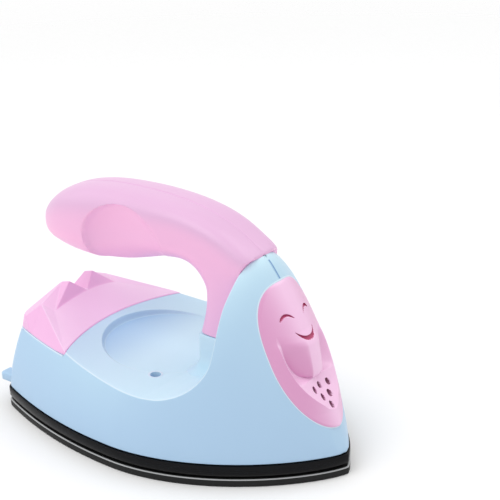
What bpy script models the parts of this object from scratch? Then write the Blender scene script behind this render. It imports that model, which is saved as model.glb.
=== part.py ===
# Mini craft iron. Metres, +Z up, nose along +X. The origin is the middle of the sole's ironing face.
import math

import bmesh
import bpy
from mathutils import Matrix, Vector

# Clearances and cuts
seat_gap = 0.0003
cut_overrun = 0.001
screw_clearance = 0.0003

# Sole plate, insulating ring and skirt, stacked upward
sole_length = 0.120
sole_half_width = 0.0383
heel_half_width = 0.0266
heel_corner = 0.003
sole_thickness = 0.0025
sole_edge = 0.0004
ring_setback = 0.0014
ring_thickness = 0.0008
ring_land = 0.0075
skirt_height = 0.0031
skirt_land = 0.0085
widest_share = 0.482
nose_inner_power = 1.885
nose_outer_power = 0.792
nose_setback_share = 1.3

# Housing
shell_wall = 0.002
shell_setback = 0.0005
crown_height = 0.0648
deck_height = 0.0252
deck_low_x = 0.008
deck_curve = 0.400
tower_place_share = 0.4517
heel_lean_share = 0.094
wall_inner_power = 1.6
wall_outer_power = 0.55

# Deck recess and the two deck screws
recess_radius = 0.0214
recess_x = -0.0095
recess_floor = 0.0257
recess_slope_share = 0.049
deck_screw_x = 0.0015
deck_screw_y = 0.0194
deck_hole_radius = 0.00175
deck_boss_radius = 0.0033
deck_boss_seat = 0.003
crown_groove_radius = 0.0006

# Block under the handle's root
pedestal_length = 0.0160
pedestal_half_width = 0.0106
pedestal_top = 0.0385

# Feet at the heel corners
foot_length = 0.004
foot_width = 0.0045
foot_height = 0.0032
foot_side = 0.0032
foot_floor = 0.0075
foot_root_share = 0.8

# Handle
handle_setback = 0.003
handle_top = 0.078
handle_half_width = 0.0126
handle_wall = 0.0025
grip_scoop_length = 0.0358
grip_scoop_height = 0.0166
grip_scoop_bulge = 0.010
grip_scoop_x = -0.0160
grip_scoop_y = 0.0125
grip_scoop_z = 0.0656
grip_scoop_tilt = math.radians(8)
grip_scoop_rise = math.radians(4)

# Nose cover
nose_cover_half_width = 0.0138
nose_cover_half_height = 0.0214
nose_cover_z = 0.0369
nose_cover_thickness = 0.0018
nose_cover_proud = 0.0008
lip_rise = 0.0020
floor_depth = 0.0022
floor_top_share = 0.02
floor_fade_share = 0.16
vent_radius = 0.001
vent_row_drop = 0.0026
vent_spacing = 0.0034
vent_top_z = 0.0271
smile_radius = 0.0005
eye_y = 0.0047
eye_z = 0.0492
eye_half_width = 0.0016
mouth_z = 0.0425
mouth_half_width = 0.0042

# Rear cover
cover_seat = 0.0273
cover_length = 0.0261
cover_arc_radius = 0.074
cover_ear_height = 0.0407
cover_heel_lean = 0.00045
cover_side_lean = 0.0009
cover_half_width = 0.0292
cover_pocket_depth = 0.0034
cover_pocket_length = 0.013
cover_pocket_half_width = 0.010
cover_pocket_inset = 0.0135

# Heater stack
heater_length = 0.066
heater_width = 0.027
heater_thickness = 0.004
heater_x = -0.004
mica_thickness = 0.0005
clamp_length = 0.054
clamp_width = 0.014
clamp_thickness = 0.0012
heater_screw_pitch = 0.040
sole_skin = 0.001
post_radius = 0.0028
thermostat_radius = 0.006
thermostat_height = 0.0042
thermostat_x = -0.008
fuse_radius = 0.0016
fuse_length = 0.010
fuse_x = 0.005

# Contact block, pins and springs in the heel
block_length = 0.0125
block_width = 0.022
block_height = 0.009
contact_y = 0.005
contact_z = 0.0118
pin_radius = 0.0015
pin_collar_radius = 0.0023
pin_collar_length = 0.0014
pin_reach = 0.0016
pin_clearance = 0.0003
block_front = 0.002
block_back = 0.002
spring_wire_radius = 0.00022
spring_turns = 6

# Lamp board
board_thickness = 0.0012
board_width = 0.014
board_height = 0.019
board_inset = 0.0155
rib_length = 0.006
rib_height = 0.003
rib_inset = 0.015
lamp_radius = 0.0015
lamp_length = 0.003
lead_radius = 0.0007

# Screws
screw_radius = 0.001
screw_head_radius = 0.00145
screw_head_height = 0.0014
base_screw_inset = 0.0055
base_screw_side = 0.0096
base_boss_radius = 0.003
base_screw_depth = 0.007
handle_screw_low = 0.045
handle_screw_high = 0.053
handle_screw_y = 0.0045
handle_screw_depth = 0.006
cover_screw_inset = 0.012
cover_screw_side = 0.0137
cover_screw_depth = 0.0045
deck_rear_share = 1.2

# Heights of the stack
ring_base = sole_thickness + seat_gap
ring_top = ring_base + ring_thickness
skirt_base = ring_top + seat_gap
skirt_top = skirt_base + skirt_height
shell_base = skirt_top + seat_gap
heater_base = sole_thickness + seat_gap
heater_top = heater_base + heater_thickness
mica_base = heater_top + seat_gap
clamp_base = mica_base + mica_thickness + seat_gap
clamp_top = clamp_base + clamp_thickness
half_length = sole_length / 2

# Places along and across the sole
tower_x = tower_place_share * half_length
pedestal_rear_x = tower_x - pedestal_length
handle_reach = half_length - handle_setback
cover_arc_x = cover_length - half_length
cover_pocket_x = cover_pocket_inset - half_length
board_x = half_length - board_inset
rib_x = half_length - rib_inset
base_screw_x = base_screw_inset - half_length
base_screw_y = heel_half_width - base_screw_side
cover_screw_x = cover_screw_inset - half_length
cover_screw_y = cover_half_width - cover_screw_side
foot_y = heel_half_width - foot_side

# Height of the wall's ridge along the middle plane: shares of half_length and of crown_height
ridge_shares = (
    (-1.0, 0.648), (-0.733, 0.718), (-0.467, 0.772), (-0.267, 0.787), (-0.1, 0.841), (0.05, 0.941),
    (0.167, 1.015), (0.283, 1.052), (0.4, 1.042), (0.513, 1.0), (0.602, 0.897), (0.69, 0.77),
    (0.747, 0.682), (0.80, 0.58), (0.85, 0.475), (0.897, 0.36), (0.935, 0.255), (0.965, 0.18), (0.99, 0.11),
)
# Rear limit of the wall's rings: shares of half_length and of crown_height. The scoop cuts it all away.
rear_limit_shares = (
    (0.47, -0.955), (0.525, -0.333), (0.694, 0.0), (0.849, 0.133), (0.926, 0.2), (1.03, 0.267),
)
# Corners of the rear cover: shares of half_length, of cover_half_width and of the rise to the ears
cover_corner_shares = {
    "centre": (-0.75, 0.0, 0.641),
    "valley": (-0.763, 0.514, 0.435),
    "ridge": (-0.848, 0.548, 0.580),
    "ear_front": (-0.793, 0.192, 1.0),
    "ear_back": (-0.855, 0.192, 0.924),
    "notch": (-0.875, 0.0, 0.611),
    "heel_middle": (-0.942, 0.548, 0.389),
}
cover_heel_share = 0.305
cover_front_share = -0.47
hollow_top_share = 0.955
hollow_front_share = 0.8
# Nose cover's relief, as shares of its half sizes. Lip: place, spread and reach. Keel: low end and
# its fade, high end and its fade, height and width. Floor: centre, height, rim and fade.
lip_shares = (0.06, 0.11, 0.42)
keel_shares = (0.75, 0.2, 0.15, 0.1, 0.5, 0.16)
floor_shares = (0.36, 0.62, 0.86, 0.16)
mouth_bend_share = 0.55
# Rows of vents: row number and places along it as shares of vent_spacing
vent_row_shares = ((0, (-1, 0, 1)), (1, (-0.5, 0.5)), (2, (0,)))
# Round tip of a pin: radius and setback as shares of pin_radius
pin_tip_shares = ((0.55, 0.0), (0.9, 0.35), (1.0, 0.8))
corner_turn_shares = (0.33, 0.67, 1.0)
level_shares = (
    0.0, 0.045, 0.11, 0.18, 0.25, 0.315, 0.375, 0.44, 0.50, 0.56, 0.62, 0.68, 0.74, 0.80, 0.86, 0.91,
    0.95, 0.98, 1.015,
)
# Rear edge of the tower: shares of tower_x, and of the rise from deck to crown
tower_shares = (
    (0.28, 0.003), (0.476, 0.010), (0.624, 0.038), (0.738, 0.073), (0.845, 0.126), (0.9225, 0.187),
    (0.974, 0.253), (0.998, 0.331), (1.0, 0.409), (0.996, 0.515), (0.998, 0.672), (1.004, 0.747),
    (1.015, 0.813), (1.033, 0.922), (1.066, 0.972), (1.103, 1.0), (1.151, 1.001),
)
# Handle sections: top point x, z, low point x, z, and half width, as shares of handle_reach,
# handle_top, handle_reach, handle_top and handle_half_width
handle_shares = (
    (-1.0, 0.805, -1.0, 0.765, 0.16),
    (-0.985, 0.838, -0.988, 0.737, 0.42),
    (-0.960, 0.868, -0.965, 0.717, 0.56),
    (-0.905, 0.903, -0.915, 0.700, 0.70),
    (-0.825, 0.941, -0.825, 0.690, 0.84),
    (-0.702, 0.973, -0.702, 0.680, 0.95),
    (-0.561, 0.991, -0.561, 0.678, 1.0),
    (-0.404, 0.999, -0.404, 0.686, 1.0),
    (-0.246, 1.0, -0.272, 0.708, 0.97),
    (-0.088, 0.995, -0.140, 0.736, 0.92),
    (0.070, 0.982, -0.026, 0.762, 0.87),
    (0.211, 0.959, 0.079, 0.769, 0.84),
    (0.333, 0.926, 0.158, 0.750, 0.82),
    (0.439, 0.882, 0.205, 0.712, 0.80),
    (0.556, 0.818, 0.232, 0.662, 0.79),
    (0.560, 0.705, 0.226, 0.600, 0.79),
    (0.560, 0.590, 0.210, 0.545, 0.80),
    (0.560, 0.497, 0.192, 0.497, 0.82),
)
# The hollow runs through these sections only
handle_hollow_first = 3
handle_hollow_last = 11
handle_round_power = 2.5
handle_square_power = 5.0

ring_steps = 18
heel_steps = 4
outline_steps = 20
outline_step_power = 1.7
section_steps = 10
round_steps = 20
small_steps = 12

for item in list(bpy.data.objects):
    bpy.data.objects.remove(item, do_unlink=True)

parts = bpy.data.collections.new("mini_craft_iron")
cutters = bpy.data.collections.new("cutters")
bpy.context.scene.collection.children.link(parts)
bpy.context.scene.collection.children.link(cutters)


def smooth_value(points, x):
    """Height at x of a curve through the points that has no overshoot."""
    count = len(points)
    slopes = []
    for left, right in zip(points, points[1:]):
        slopes.append((right[1] - left[1]) / (right[0] - left[0]))
    tangents = [slopes[0]]
    for before, after in zip(slopes, slopes[1:]):
        tangents.append(0 if before * after <= 0 else 2 * before * after / (before + after))
    tangents.append(slopes[-1])
    index = 0
    while index < count - 2 and x > points[index + 1][0]:
        index += 1
    left, right = points[index], points[index + 1]
    span = right[0] - left[0]
    t = min(max((x - left[0]) / span, 0), 1)
    rise = (1 + 2 * t) * (1 - t) ** 2 * left[1] + t * t * (3 - 2 * t) * right[1]
    return rise + span * (t * (1 - t) ** 2 * tangents[index] - t * t * (1 - t) * tangents[index + 1])


def base_half_width(x):
    """Half width of the sole at x."""
    along = min(max(x / sole_length + 0.5, 0), 1)
    if along < widest_share:
        narrowing = (sole_half_width - heel_half_width) * ((widest_share - along) / widest_share) ** 2
        return sole_half_width - narrowing
    forward = (along - widest_share) / (1 - widest_share)
    return sole_half_width * max(1 - forward ** nose_inner_power, 0) ** nose_outer_power


def ridge_height(x):
    """Height of the wall's ridge over the middle plane at x."""
    return smooth_value(ridge_shares, x / half_length) * crown_height


def nose_reach(z):
    """Foremost x of the wall at height z."""
    low = ridge_shares[7][0] * half_length
    high = half_length - shell_setback
    for _ in range(40):
        middle = (low + high) / 2
        if ridge_height(middle) > z:
            low = middle
        else:
            high = middle
    return low


def wall_half_width(x, z):
    """Half width of the housing's outer wall at x and height z."""
    scale = (half_length - shell_setback) / half_length
    foot = base_half_width(x / scale) * (sole_half_width - shell_setback) / sole_half_width
    rise = (z - shell_base) / max(ridge_height(x) - shell_base, cut_overrun)
    return foot * (1 - min(max(rise, 0), 1) ** wall_inner_power) ** wall_outer_power


def wall_front(y, z):
    """Foremost x of the outer wall at y and height z."""
    low = ridge_shares[7][0] * half_length
    high = nose_reach(z)
    for _ in range(40):
        middle = (low + high) / 2
        if wall_half_width(middle, z) > abs(y):
            low = middle
        else:
            high = middle
    return low


def heel_face(z):
    """x of the leaning heel wall at height z."""
    return shell_setback - half_length + heel_lean_share * (z - shell_base)


def bend(start, corner, end, steps):
    """Points of a rounded corner, ends included."""
    result = []
    for step in range(steps + 1):
        t = step / steps
        result.append(start * (1 - t) ** 2 + corner * 2 * t * (1 - t) + end * t * t)
    return result


def mirrored_ring(side):
    """Closed ring from the points of the +Y side, listed from the nose to the heel."""
    other = [Vector((p.x, -p.y)) for p in reversed(side) if p.y > 0]
    return side + other


def plan_outline(inset):
    """Sole outline drawn in by inset."""
    front = half_length - nose_setback_share * inset
    rear = inset - half_length
    narrow = (sole_half_width - inset) / sole_half_width
    side = []
    for step in range(outline_steps + 1):
        share = (step / outline_steps) ** outline_step_power
        x = half_length - sole_length * share
        side.append(Vector((front - (front - rear) * share, base_half_width(x) * narrow)))
    side[0].y = 0
    corner = side.pop()
    while (side[-1] - corner).length < heel_corner:
        side.pop()
    start = corner + (side[-1] - corner).normalized() * heel_corner
    side += bend(start, corner, corner - Vector((0, heel_corner)), heel_steps)
    return mirrored_ring(side)


def wall_ring(z, inset):
    """Ring round the housing's wall at height z, drawn in by inset."""
    front = nose_reach(z)
    limits = [(a * crown_height, b * half_length) for a, b in rear_limit_shares]
    rear = heel_face(z)
    leaning = z <= limits[0][0]
    if not leaning:
        rear = smooth_value(limits, z)
    shares = [(step / ring_steps) ** 2 for step in range(ring_steps + 1)]
    widths = [wall_half_width(front - (front - rear) * share, z) for share in shares]
    narrow = 1 - inset / max(widths)
    side = []
    for share, wide in zip(shares, widths):
        x = front - inset - (front - rear - 2 * inset) * share
        side.append(Vector((x, wide * narrow)))
    side[0].y = 0
    corner = side.pop()
    start = corner + (side[-1] - corner).normalized() * heel_corner
    side += bend(start, corner, corner - Vector((0, heel_corner)), heel_steps)
    return [Vector((p.x, p.y, z)) for p in mirrored_ring(side)]


def new_object(name, work, smooth=True, group=None):
    """Object from a bmesh, faces out."""
    bmesh.ops.recalc_face_normals(work, faces=work.faces[:])
    mesh = bpy.data.meshes.new(name)
    work.to_mesh(mesh)
    work.free()
    if smooth:
        mesh.shade_smooth()
        mesh.set_sharp_from_angle(angle=math.radians(35))
    result = bpy.data.objects.new(name, mesh)
    (group or parts).objects.link(result)
    if group is cutters:
        result.hide_render = True
        result.display_type = "WIRE"
    return result


def loft(name, rings, smooth=True, group=None):
    """Closed skin over rings of equal count, with flat ends."""
    work = bmesh.new()
    rows = [[work.verts.new(point) for point in ring] for ring in rings]
    for low, high in zip(rows, rows[1:]):
        for index in range(len(low)):
            after = (index + 1) % len(low)
            work.faces.new((low[index], low[after], high[after], high[index]))
    work.faces.new(rows[0])
    work.faces.new(rows[-1])
    return new_object(name, work, smooth, group)


def plate(name, outline, low, high, group=None):
    """Flat plate over a plan outline."""
    rings = [[Vector((p.x, p.y, z)) for p in outline] for z in (low, high)]
    return loft(name, rings, True, group)


def slab(name, outline, half_depth, group=None):
    """Side profile (x, z) carried across the body along Y, from a flat 2D curve."""
    curve = bpy.data.curves.new(name, "CURVE")
    curve.dimensions = "2D"
    curve.fill_mode = "BOTH"
    curve.extrude = half_depth
    spline = curve.splines.new("POLY")
    spline.points.add(len(outline) - 1)
    for point, (x, z) in zip(spline.points, outline):
        point.co = (x, z, 0, 1)
    spline.use_cyclic_u = True
    guide = bpy.data.objects.new(name + "_profile", curve)
    guide.matrix_world = Matrix.Rotation(math.radians(90), 4, "X")
    return curve_to_mesh(name, guide, group)


def curve_to_mesh(name, guide, group=None):
    """Mesh object in place of a curve object, with its caps welded on."""
    bpy.context.scene.collection.objects.link(guide)
    bpy.context.view_layer.update()
    evaluated = guide.evaluated_get(bpy.context.evaluated_depsgraph_get())
    mesh = bpy.data.meshes.new_from_object(evaluated)
    place = guide.matrix_world.copy()
    bpy.data.objects.remove(guide, do_unlink=True)
    work = bmesh.new()
    work.from_mesh(mesh)
    bpy.data.meshes.remove(mesh)
    bmesh.ops.remove_doubles(work, verts=work.verts[:], dist=seat_gap / 30)
    bmesh.ops.transform(work, matrix=place, verts=work.verts[:])
    return new_object(name, work, True, group)


def box(name, low, high, group=None):
    """Box between two corners."""
    work = bmesh.new()
    bmesh.ops.create_cube(work, size=1)
    middle = (Vector(low) + Vector(high)) / 2
    size = Vector(high) - Vector(low)
    bmesh.ops.scale(work, vec=size, verts=work.verts[:])
    bmesh.ops.translate(work, vec=middle, verts=work.verts[:])
    return new_object(name, work, False, group)


def rod(name, start, end, radius, steps=small_steps, group=None):
    """Round bar from start to end."""
    start, end = Vector(start), Vector(end)
    work = bmesh.new()
    bmesh.ops.create_cone(
        work, cap_ends=True, segments=steps, radius1=radius, radius2=radius, depth=(end - start).length
    )
    turn = (end - start).to_track_quat("Z", "Y").to_matrix().to_4x4()
    place = Matrix.Translation((start + end) / 2) @ turn
    bmesh.ops.transform(work, matrix=place, verts=work.verts[:])
    return new_object(name, work, True, group)


def turned(name, profile, place, steps=small_steps, group=None):
    """Solid of revolution about the local Z, from (radius, height) points that run top to bottom."""
    mesh = bpy.data.meshes.new(name)
    edges = [(index, index + 1) for index in range(len(profile) - 1)]
    mesh.from_pydata([(radius, 0, height) for radius, height in profile], edges, [])
    result = bpy.data.objects.new(name, mesh)
    (group or parts).objects.link(result)
    result.matrix_world = place
    screw = result.modifiers.new("turn", "SCREW")
    screw.steps = steps
    screw.render_steps = steps
    screw.use_merge_vertices = True
    screw.merge_threshold = seat_gap / 30
    if group is cutters:
        result.hide_render = True
        result.display_type = "WIRE"
    return result


def wire(name, points, radius, group=None, resolution=2):
    """Tube along the points."""
    curve = bpy.data.curves.new(name, "CURVE")
    curve.dimensions = "3D"
    curve.bevel_depth = radius
    curve.bevel_resolution = resolution
    curve.use_fill_caps = True
    spline = curve.splines.new("POLY")
    spline.points.add(len(points) - 1)
    for point, place in zip(spline.points, points):
        point.co = (*place, 1)
    guide = bpy.data.objects.new(name + "_path", curve)
    return curve_to_mesh(name, guide, group)


def change(target, other, operation):
    """Boolean step that stays on the target."""
    step = target.modifiers.new(operation.lower() + "_" + other.name, "BOOLEAN")
    step.operation = operation
    step.solver = "EXACT"
    step.object = other


def cut(target, cutter):
    change(target, cutter, "DIFFERENCE")


def join(target, piece):
    change(target, piece, "UNION")


def soften(target, width, angle=40, segments=2):
    """Rounded edges."""
    step = target.modifiers.new("soften", "BEVEL")
    step.width = width
    step.segments = segments
    step.limit_method = "ANGLE"
    step.angle_limit = math.radians(angle)


def paint(target, colour, roughness, metallic=0.0):
    """Its own Principled material."""
    material = bpy.data.materials.new(target.name)
    material.use_nodes = True
    shader = material.node_tree.nodes["Principled BSDF"]
    shader.inputs["Base Color"].default_value = (*colour, 1)
    shader.inputs["Roughness"].default_value = roughness
    shader.inputs["Metallic"].default_value = metallic
    target.data.materials.clear()
    target.data.materials.append(material)
    material.diffuse_color = (*colour, 1)


def screw(name, seat, direction, depth):
    """Pan head screw: its head stands a seat gap above the seat, its shank runs along direction."""
    seat, direction = Vector(seat), Vector(direction)
    head_base = seat - direction * seat_gap
    turn = (-direction).to_track_quat("Z", "Y").to_matrix().to_4x4()
    place = Matrix.Translation(head_base) @ turn
    crown = screw_head_height / 4
    profile = [
        (0, screw_head_height),
        (screw_head_radius - crown, screw_head_height),
        (screw_head_radius, screw_head_height - crown),
        (screw_head_radius, 0),
        (screw_radius, 0),
        (screw_radius, -depth + screw_radius),
        (screw_radius / 2, -depth),
        (0, -depth),
    ]
    result = turned(name, profile, place)
    paint(result, (0.62, 0.63, 0.65), 0.35, 1.0)
    return result


def deck_profile():
    """Deck line from the rear to the tower's foot, as (x, z)."""
    line = []
    rear = -half_length - foot_length - cut_overrun
    front = tower_shares[0][0] * tower_x
    steps = 10
    for step in range(steps):
        x = rear + (front - rear) * step / steps
        line.append((x, deck_height + (x - deck_low_x) ** 2 / deck_curve))
    return line


def tower_profile(shift):
    """Rear edge of the tower, as (x, z), moved toward the nose and down by shift."""
    line = [(a * tower_x, deck_height + b * (crown_height - deck_height)) for a, b in tower_shares]
    if shift == 0:
        return line
    moved = []
    for index, point in enumerate(line):
        before = line[max(index - 1, 0)]
        after = line[min(index + 1, len(line) - 1)]
        run = Vector((after[0] - before[0], after[1] - before[1])).normalized()
        moved.append((point[0] + run.y * shift, point[1] - run.x * shift))
    return moved


def make_sole():
    sole = plate("sole_plate", plan_outline(0), 0, sole_thickness)
    soften(sole, sole_edge, 60, 1)
    for side in (-1, 1):
        place = (deck_screw_x, side * deck_screw_y)
        low = sole_thickness - cut_overrun
        join(sole, rod("sole_post", (*place, low), (*place, skirt_top), post_radius, small_steps, cutters))
        hole = screw_radius + screw_clearance
        ends = (*place, sole_thickness), (*place, shell_base)
        cut(sole, rod("post_bore", *ends, hole, small_steps, cutters))
    for x in heater_screw_places():
        hole = screw_radius + screw_clearance
        top = sole_thickness + cut_overrun
        cut(sole, rod("sole_bore", (x, 0, sole_skin), (x, 0, top), hole, small_steps, cutters))
    paint(sole, (0.022, 0.022, 0.024), 0.55)


def heater_screw_places():
    return [heater_x + side * heater_screw_pitch / 2 for side in (-1, 1)]


def make_ring():
    ring = plate("insulating_ring", plan_outline(ring_setback), ring_base, ring_top)
    low, high = ring_base - cut_overrun, ring_top + cut_overrun
    cut(ring, plate("ring_bore", plan_outline(ring_setback + ring_land), low, high, cutters))
    paint(ring, (0.012, 0.012, 0.013), 0.7)


def make_skirt():
    skirt = plate("base_skirt", plan_outline(0), skirt_base, skirt_top)
    low, high = skirt_base - cut_overrun, skirt_top + cut_overrun
    cut(skirt, plate("skirt_bore", plan_outline(skirt_land), low, high, cutters))
    for place in base_screw_places():
        ends = (*place, skirt_base), (*place, skirt_top)
        join(skirt, rod("skirt_lug", *ends, base_boss_radius, small_steps, cutters))
        hole = screw_radius + screw_clearance
        cut(skirt, rod("skirt_hole", (*place, low), (*place, high), hole, small_steps, cutters))
        head = screw_head_radius + screw_clearance
        seat = skirt_base + base_head_room()
        cut(skirt, rod("skirt_counterbore", (*place, low), (*place, seat), head, small_steps, cutters))
    paint(skirt, (0.012, 0.012, 0.013), 0.22)


def base_head_room():
    """Depth of the counterbore that hides a base screw's head."""
    return screw_head_height + 2 * seat_gap


def base_screw_places():
    return [
        (base_screw_x, -base_screw_y),
        (base_screw_x, base_screw_y),
        (rib_x + rib_length / 2, 0),
    ]


def make_housing():
    levels = [shell_base + share * (crown_height - shell_base) for share in level_shares]
    shell = loft("housing_shell", [wall_ring(z, 0) for z in levels])
    top = crown_height + 10 * cut_overrun
    span = sole_half_width + cut_overrun
    rear = -half_length - foot_length - cut_overrun

    # Deck and the rear face of the tower
    line = deck_profile() + tower_profile(0)
    scoop = slab("scoop", line + [(line[-1][0], top), (rear, top)], span, cutters)
    cut(shell, scoop)
    block_low = (pedestal_rear_x, -pedestal_half_width, deck_height - shell_wall)
    block_high = (tower_x + shell_wall / 2, pedestal_half_width, pedestal_top)
    pedestal = box("pedestal", block_low, block_high, cutters)
    soften(pedestal, shell_wall / 2, 60)
    join(shell, pedestal)

    # Seat of the rear cover, behind an arc across the deck
    seat = plate("cover_seat_cut", arc_plan(-seat_gap), cover_seat, top, cutters)
    cut(shell, seat)

    # Hollow inside
    foot_levels = [shell_base - cut_overrun, shell_base + cut_overrun]
    inner_levels = [z for z in levels[1:] if z < hollow_top_share * crown_height]
    rings = [wall_ring(shell_base, shell_wall) for z in foot_levels]
    for ring, z in zip(rings, foot_levels):
        for point in ring:
            point.z = z
    rings += [wall_ring(z, shell_wall) for z in inner_levels]
    core = loft("core", rings, True, cutters)
    seat_under = cover_seat - shell_wall
    rear_floor = min(recess_height(cover_arc_x) - shell_wall, seat_under)
    front_floor = recess_height(pedestal_rear_x) - shell_wall
    under = [(rear, seat_under), (deck_rear_share * cover_arc_x, seat_under), (cover_arc_x, rear_floor)]
    under.append((pedestal_rear_x * hollow_front_share, front_floor))
    inner = under + tower_profile(shell_wall)[2:]
    cut(core, slab("core_scoop", inner + [(inner[-1][0], top), (rear, top)], span, cutters))
    inner_low = (pedestal_rear_x + shell_wall, shell_wall - pedestal_half_width, front_floor - shell_wall)
    inner_high = (tower_x + 2 * shell_wall, pedestal_half_width - shell_wall, pedestal_top - shell_wall)
    join(core, box("pedestal_core", inner_low, inner_high, cutters))

    # Bosses and the cross rib stand where the hollow leaves off
    low = shell_base - 2 * cut_overrun
    for x, y in deck_screw_places():
        cut(core, rod("deck_boss", (x, y, low), (x, y, crown_height), deck_boss_radius, small_steps, cutters))
    for x, y in base_screw_places()[:2]:
        cut(core, rod("base_boss", (x, y, low), (x, y, crown_height), base_boss_radius, small_steps, cutters))
    rib_low = (rib_x, -span, low)
    rib_high = (rib_x + rib_length, span, shell_base + rib_height)
    cut(core, box("cross_rib", rib_low, rib_high, cutters))
    cut(shell, core)

    # Recess in the deck, with a leaning floor
    recess = rod(
        "recess", (recess_x, 0, recess_floor), (recess_x, 0, top), recess_radius, 2 * round_steps, cutters
    )
    for vertex in recess.data.vertices:
        if vertex.co.z < (recess_floor + top) / 2:
            vertex.co.z = recess_height(vertex.co.x)
    keep_low = (pedestal_rear_x - seat_gap, -pedestal_half_width - seat_gap, 0)
    keep_high = (tower_x, pedestal_half_width + seat_gap, top)
    cut(recess, box("recess_limit", keep_low, keep_high, cutters))
    cut(shell, recess)

    # Screw holes
    for x, y in deck_screw_places():
        floor = shell_base + deck_boss_seat
        cut(shell, rod("deck_hole", (x, y, floor), (x, y, top), deck_hole_radius, small_steps, cutters))
        shank = screw_radius + screw_clearance
        cut(shell, rod("deck_shank", (x, y, low), (x, y, floor + cut_overrun), shank, small_steps, cutters))
    for x, y in base_screw_places():
        shank = screw_radius + screw_clearance
        depth = shell_base + base_screw_depth
        if x > 0:
            depth = shell_base + rib_height + cut_overrun
        cut(shell, rod("base_shank", (x, y, low), (x, y, depth), shank, small_steps, cutters))
    for y, z in handle_screw_places():
        ends = (tower_x - shell_wall, y, z), (tower_x + 2 * shell_wall, y, z)
        shank = screw_radius + screw_clearance
        cut(shell, rod("root_hole", *ends, shank, small_steps, cutters))
    for side in (-1, 1):
        place = (cover_screw_x, side * cover_screw_y)
        ends = (*place, seat_under - cut_overrun), (*place, cover_seat + cut_overrun)
        shank = screw_radius + screw_clearance
        cut(shell, rod("cover_hole", *ends, shank, small_steps, cutters))

    # Oval opening for the nose cover
    reach = half_length + cut_overrun
    opening = oval("nose_opening", seat_gap, tower_x + 2 * shell_wall, reach)
    cut(shell, opening)

    # Pin holes in the heel
    for side in (-1, 1):
        y = side * contact_y
        ends = (rear, y, contact_z), (rear + foot_length + 4 * shell_wall, y, contact_z)
        cut(shell, rod("heel_hole", *ends, pin_radius + pin_clearance, small_steps, cutters))

    # Feet at the heel corners
    for side in (-1, 1):
        back = heel_face(foot_floor) - foot_length
        low_corner = (back, side * foot_y - foot_width / 2, foot_floor)
        root = heel_face(foot_floor) + foot_root_share * shell_wall
        high_corner = (root, side * foot_y + foot_width / 2, foot_floor + foot_height)
        join(shell, box("foot", low_corner, high_corner, cutters))
    # Groove along the crown
    crown_x = tower_shares[-1][0] * tower_x
    steps = 5
    end = nose_cover_top() + crown_groove_radius
    path = []
    for step in range(steps + 1):
        x = crown_x - cut_overrun + (end - crown_x + cut_overrun) * step / steps
        path.append((x, 0, ridge_height(x)))
    cut(shell, wire("crown_groove", path, crown_groove_radius, cutters, 1))
    paint(shell, (0.43, 0.62, 0.83), 0.35)


def nose_cover_top():
    """x of the nose cover's highest point."""
    return nose_reach(nose_cover_z + nose_cover_half_height)


def recess_height(x):
    """Height of the recess's leaning floor."""
    return recess_floor + recess_slope_share * (recess_x - x)


def deck_screw_places():
    return [(deck_screw_x, -deck_screw_y), (deck_screw_x, deck_screw_y)]


def handle_screw_places():
    return [(-handle_screw_y, handle_screw_low), (handle_screw_y, handle_screw_high)]


def arc_plan(grow):
    """Plan area behind the rear cover's arc, as a ring of points."""
    outer = sole_half_width + cut_overrun
    steps = 12
    ring = []
    for step in range(steps + 1):
        y = -outer + 2 * outer * step / steps
        x = cover_arc_x + cover_arc_radius - math.sqrt(cover_arc_radius ** 2 - y * y)
        ring.append(Vector((x - grow, y)))
    rear = -half_length - foot_length - cut_overrun
    ring.append(Vector((rear, outer)))
    ring.append(Vector((rear, -outer)))
    return ring


def oval(name, grow, rear, front):
    """Bar of oval section along X, as wide as the nose cover and grow more."""
    work = bmesh.new()
    bmesh.ops.create_cone(work, cap_ends=True, segments=2 * round_steps, radius1=1, radius2=1, depth=1)
    size = Matrix.Diagonal((nose_cover_half_height + grow, nose_cover_half_width + grow, front - rear, 1))
    place = Matrix.Translation(((front + rear) / 2, 0, nose_cover_z))
    turn = Matrix.Rotation(math.radians(90), 4, "Y")
    bmesh.ops.transform(work, matrix=place @ turn @ size, verts=work.verts[:])
    return new_object(name, work, True, cutters)


def relief(across, up):
    """Height of the nose cover's relief over the wall, at shares of its half sizes."""
    # Lip under the mouth, with the chin's keel below it
    lip_up, lip_spread, lip_reach = lip_shares
    lip = lip_rise * math.exp(-((up - lip_up) / lip_spread) ** 2 - (across / lip_reach) ** 4)
    keel_low, low_fade, keel_high, high_fade, keel_height, keel_width = keel_shares
    keel_fade = min(max((up + keel_low) / low_fade, 0), 1) * min(max((keel_high - up) / high_fade, 0), 1)
    keel = keel_height * lip_rise * math.exp(-(across / keel_width) ** 2) * keel_fade
    # Sunk floor inside the raised rim
    floor_low, floor_height, floor_rim, rim_fade = floor_shares
    radius = math.hypot(across, (up + floor_low) / floor_height)
    edge = min(max((floor_rim - radius) / rim_fade, 0), 1)
    top_fade = min(max((floor_top_share - up) / floor_fade_share, 0), 1)
    floor = floor_depth * edge * edge * (3 - 2 * edge) * top_fade
    return nose_cover_proud + max(lip, keel) - floor


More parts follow.
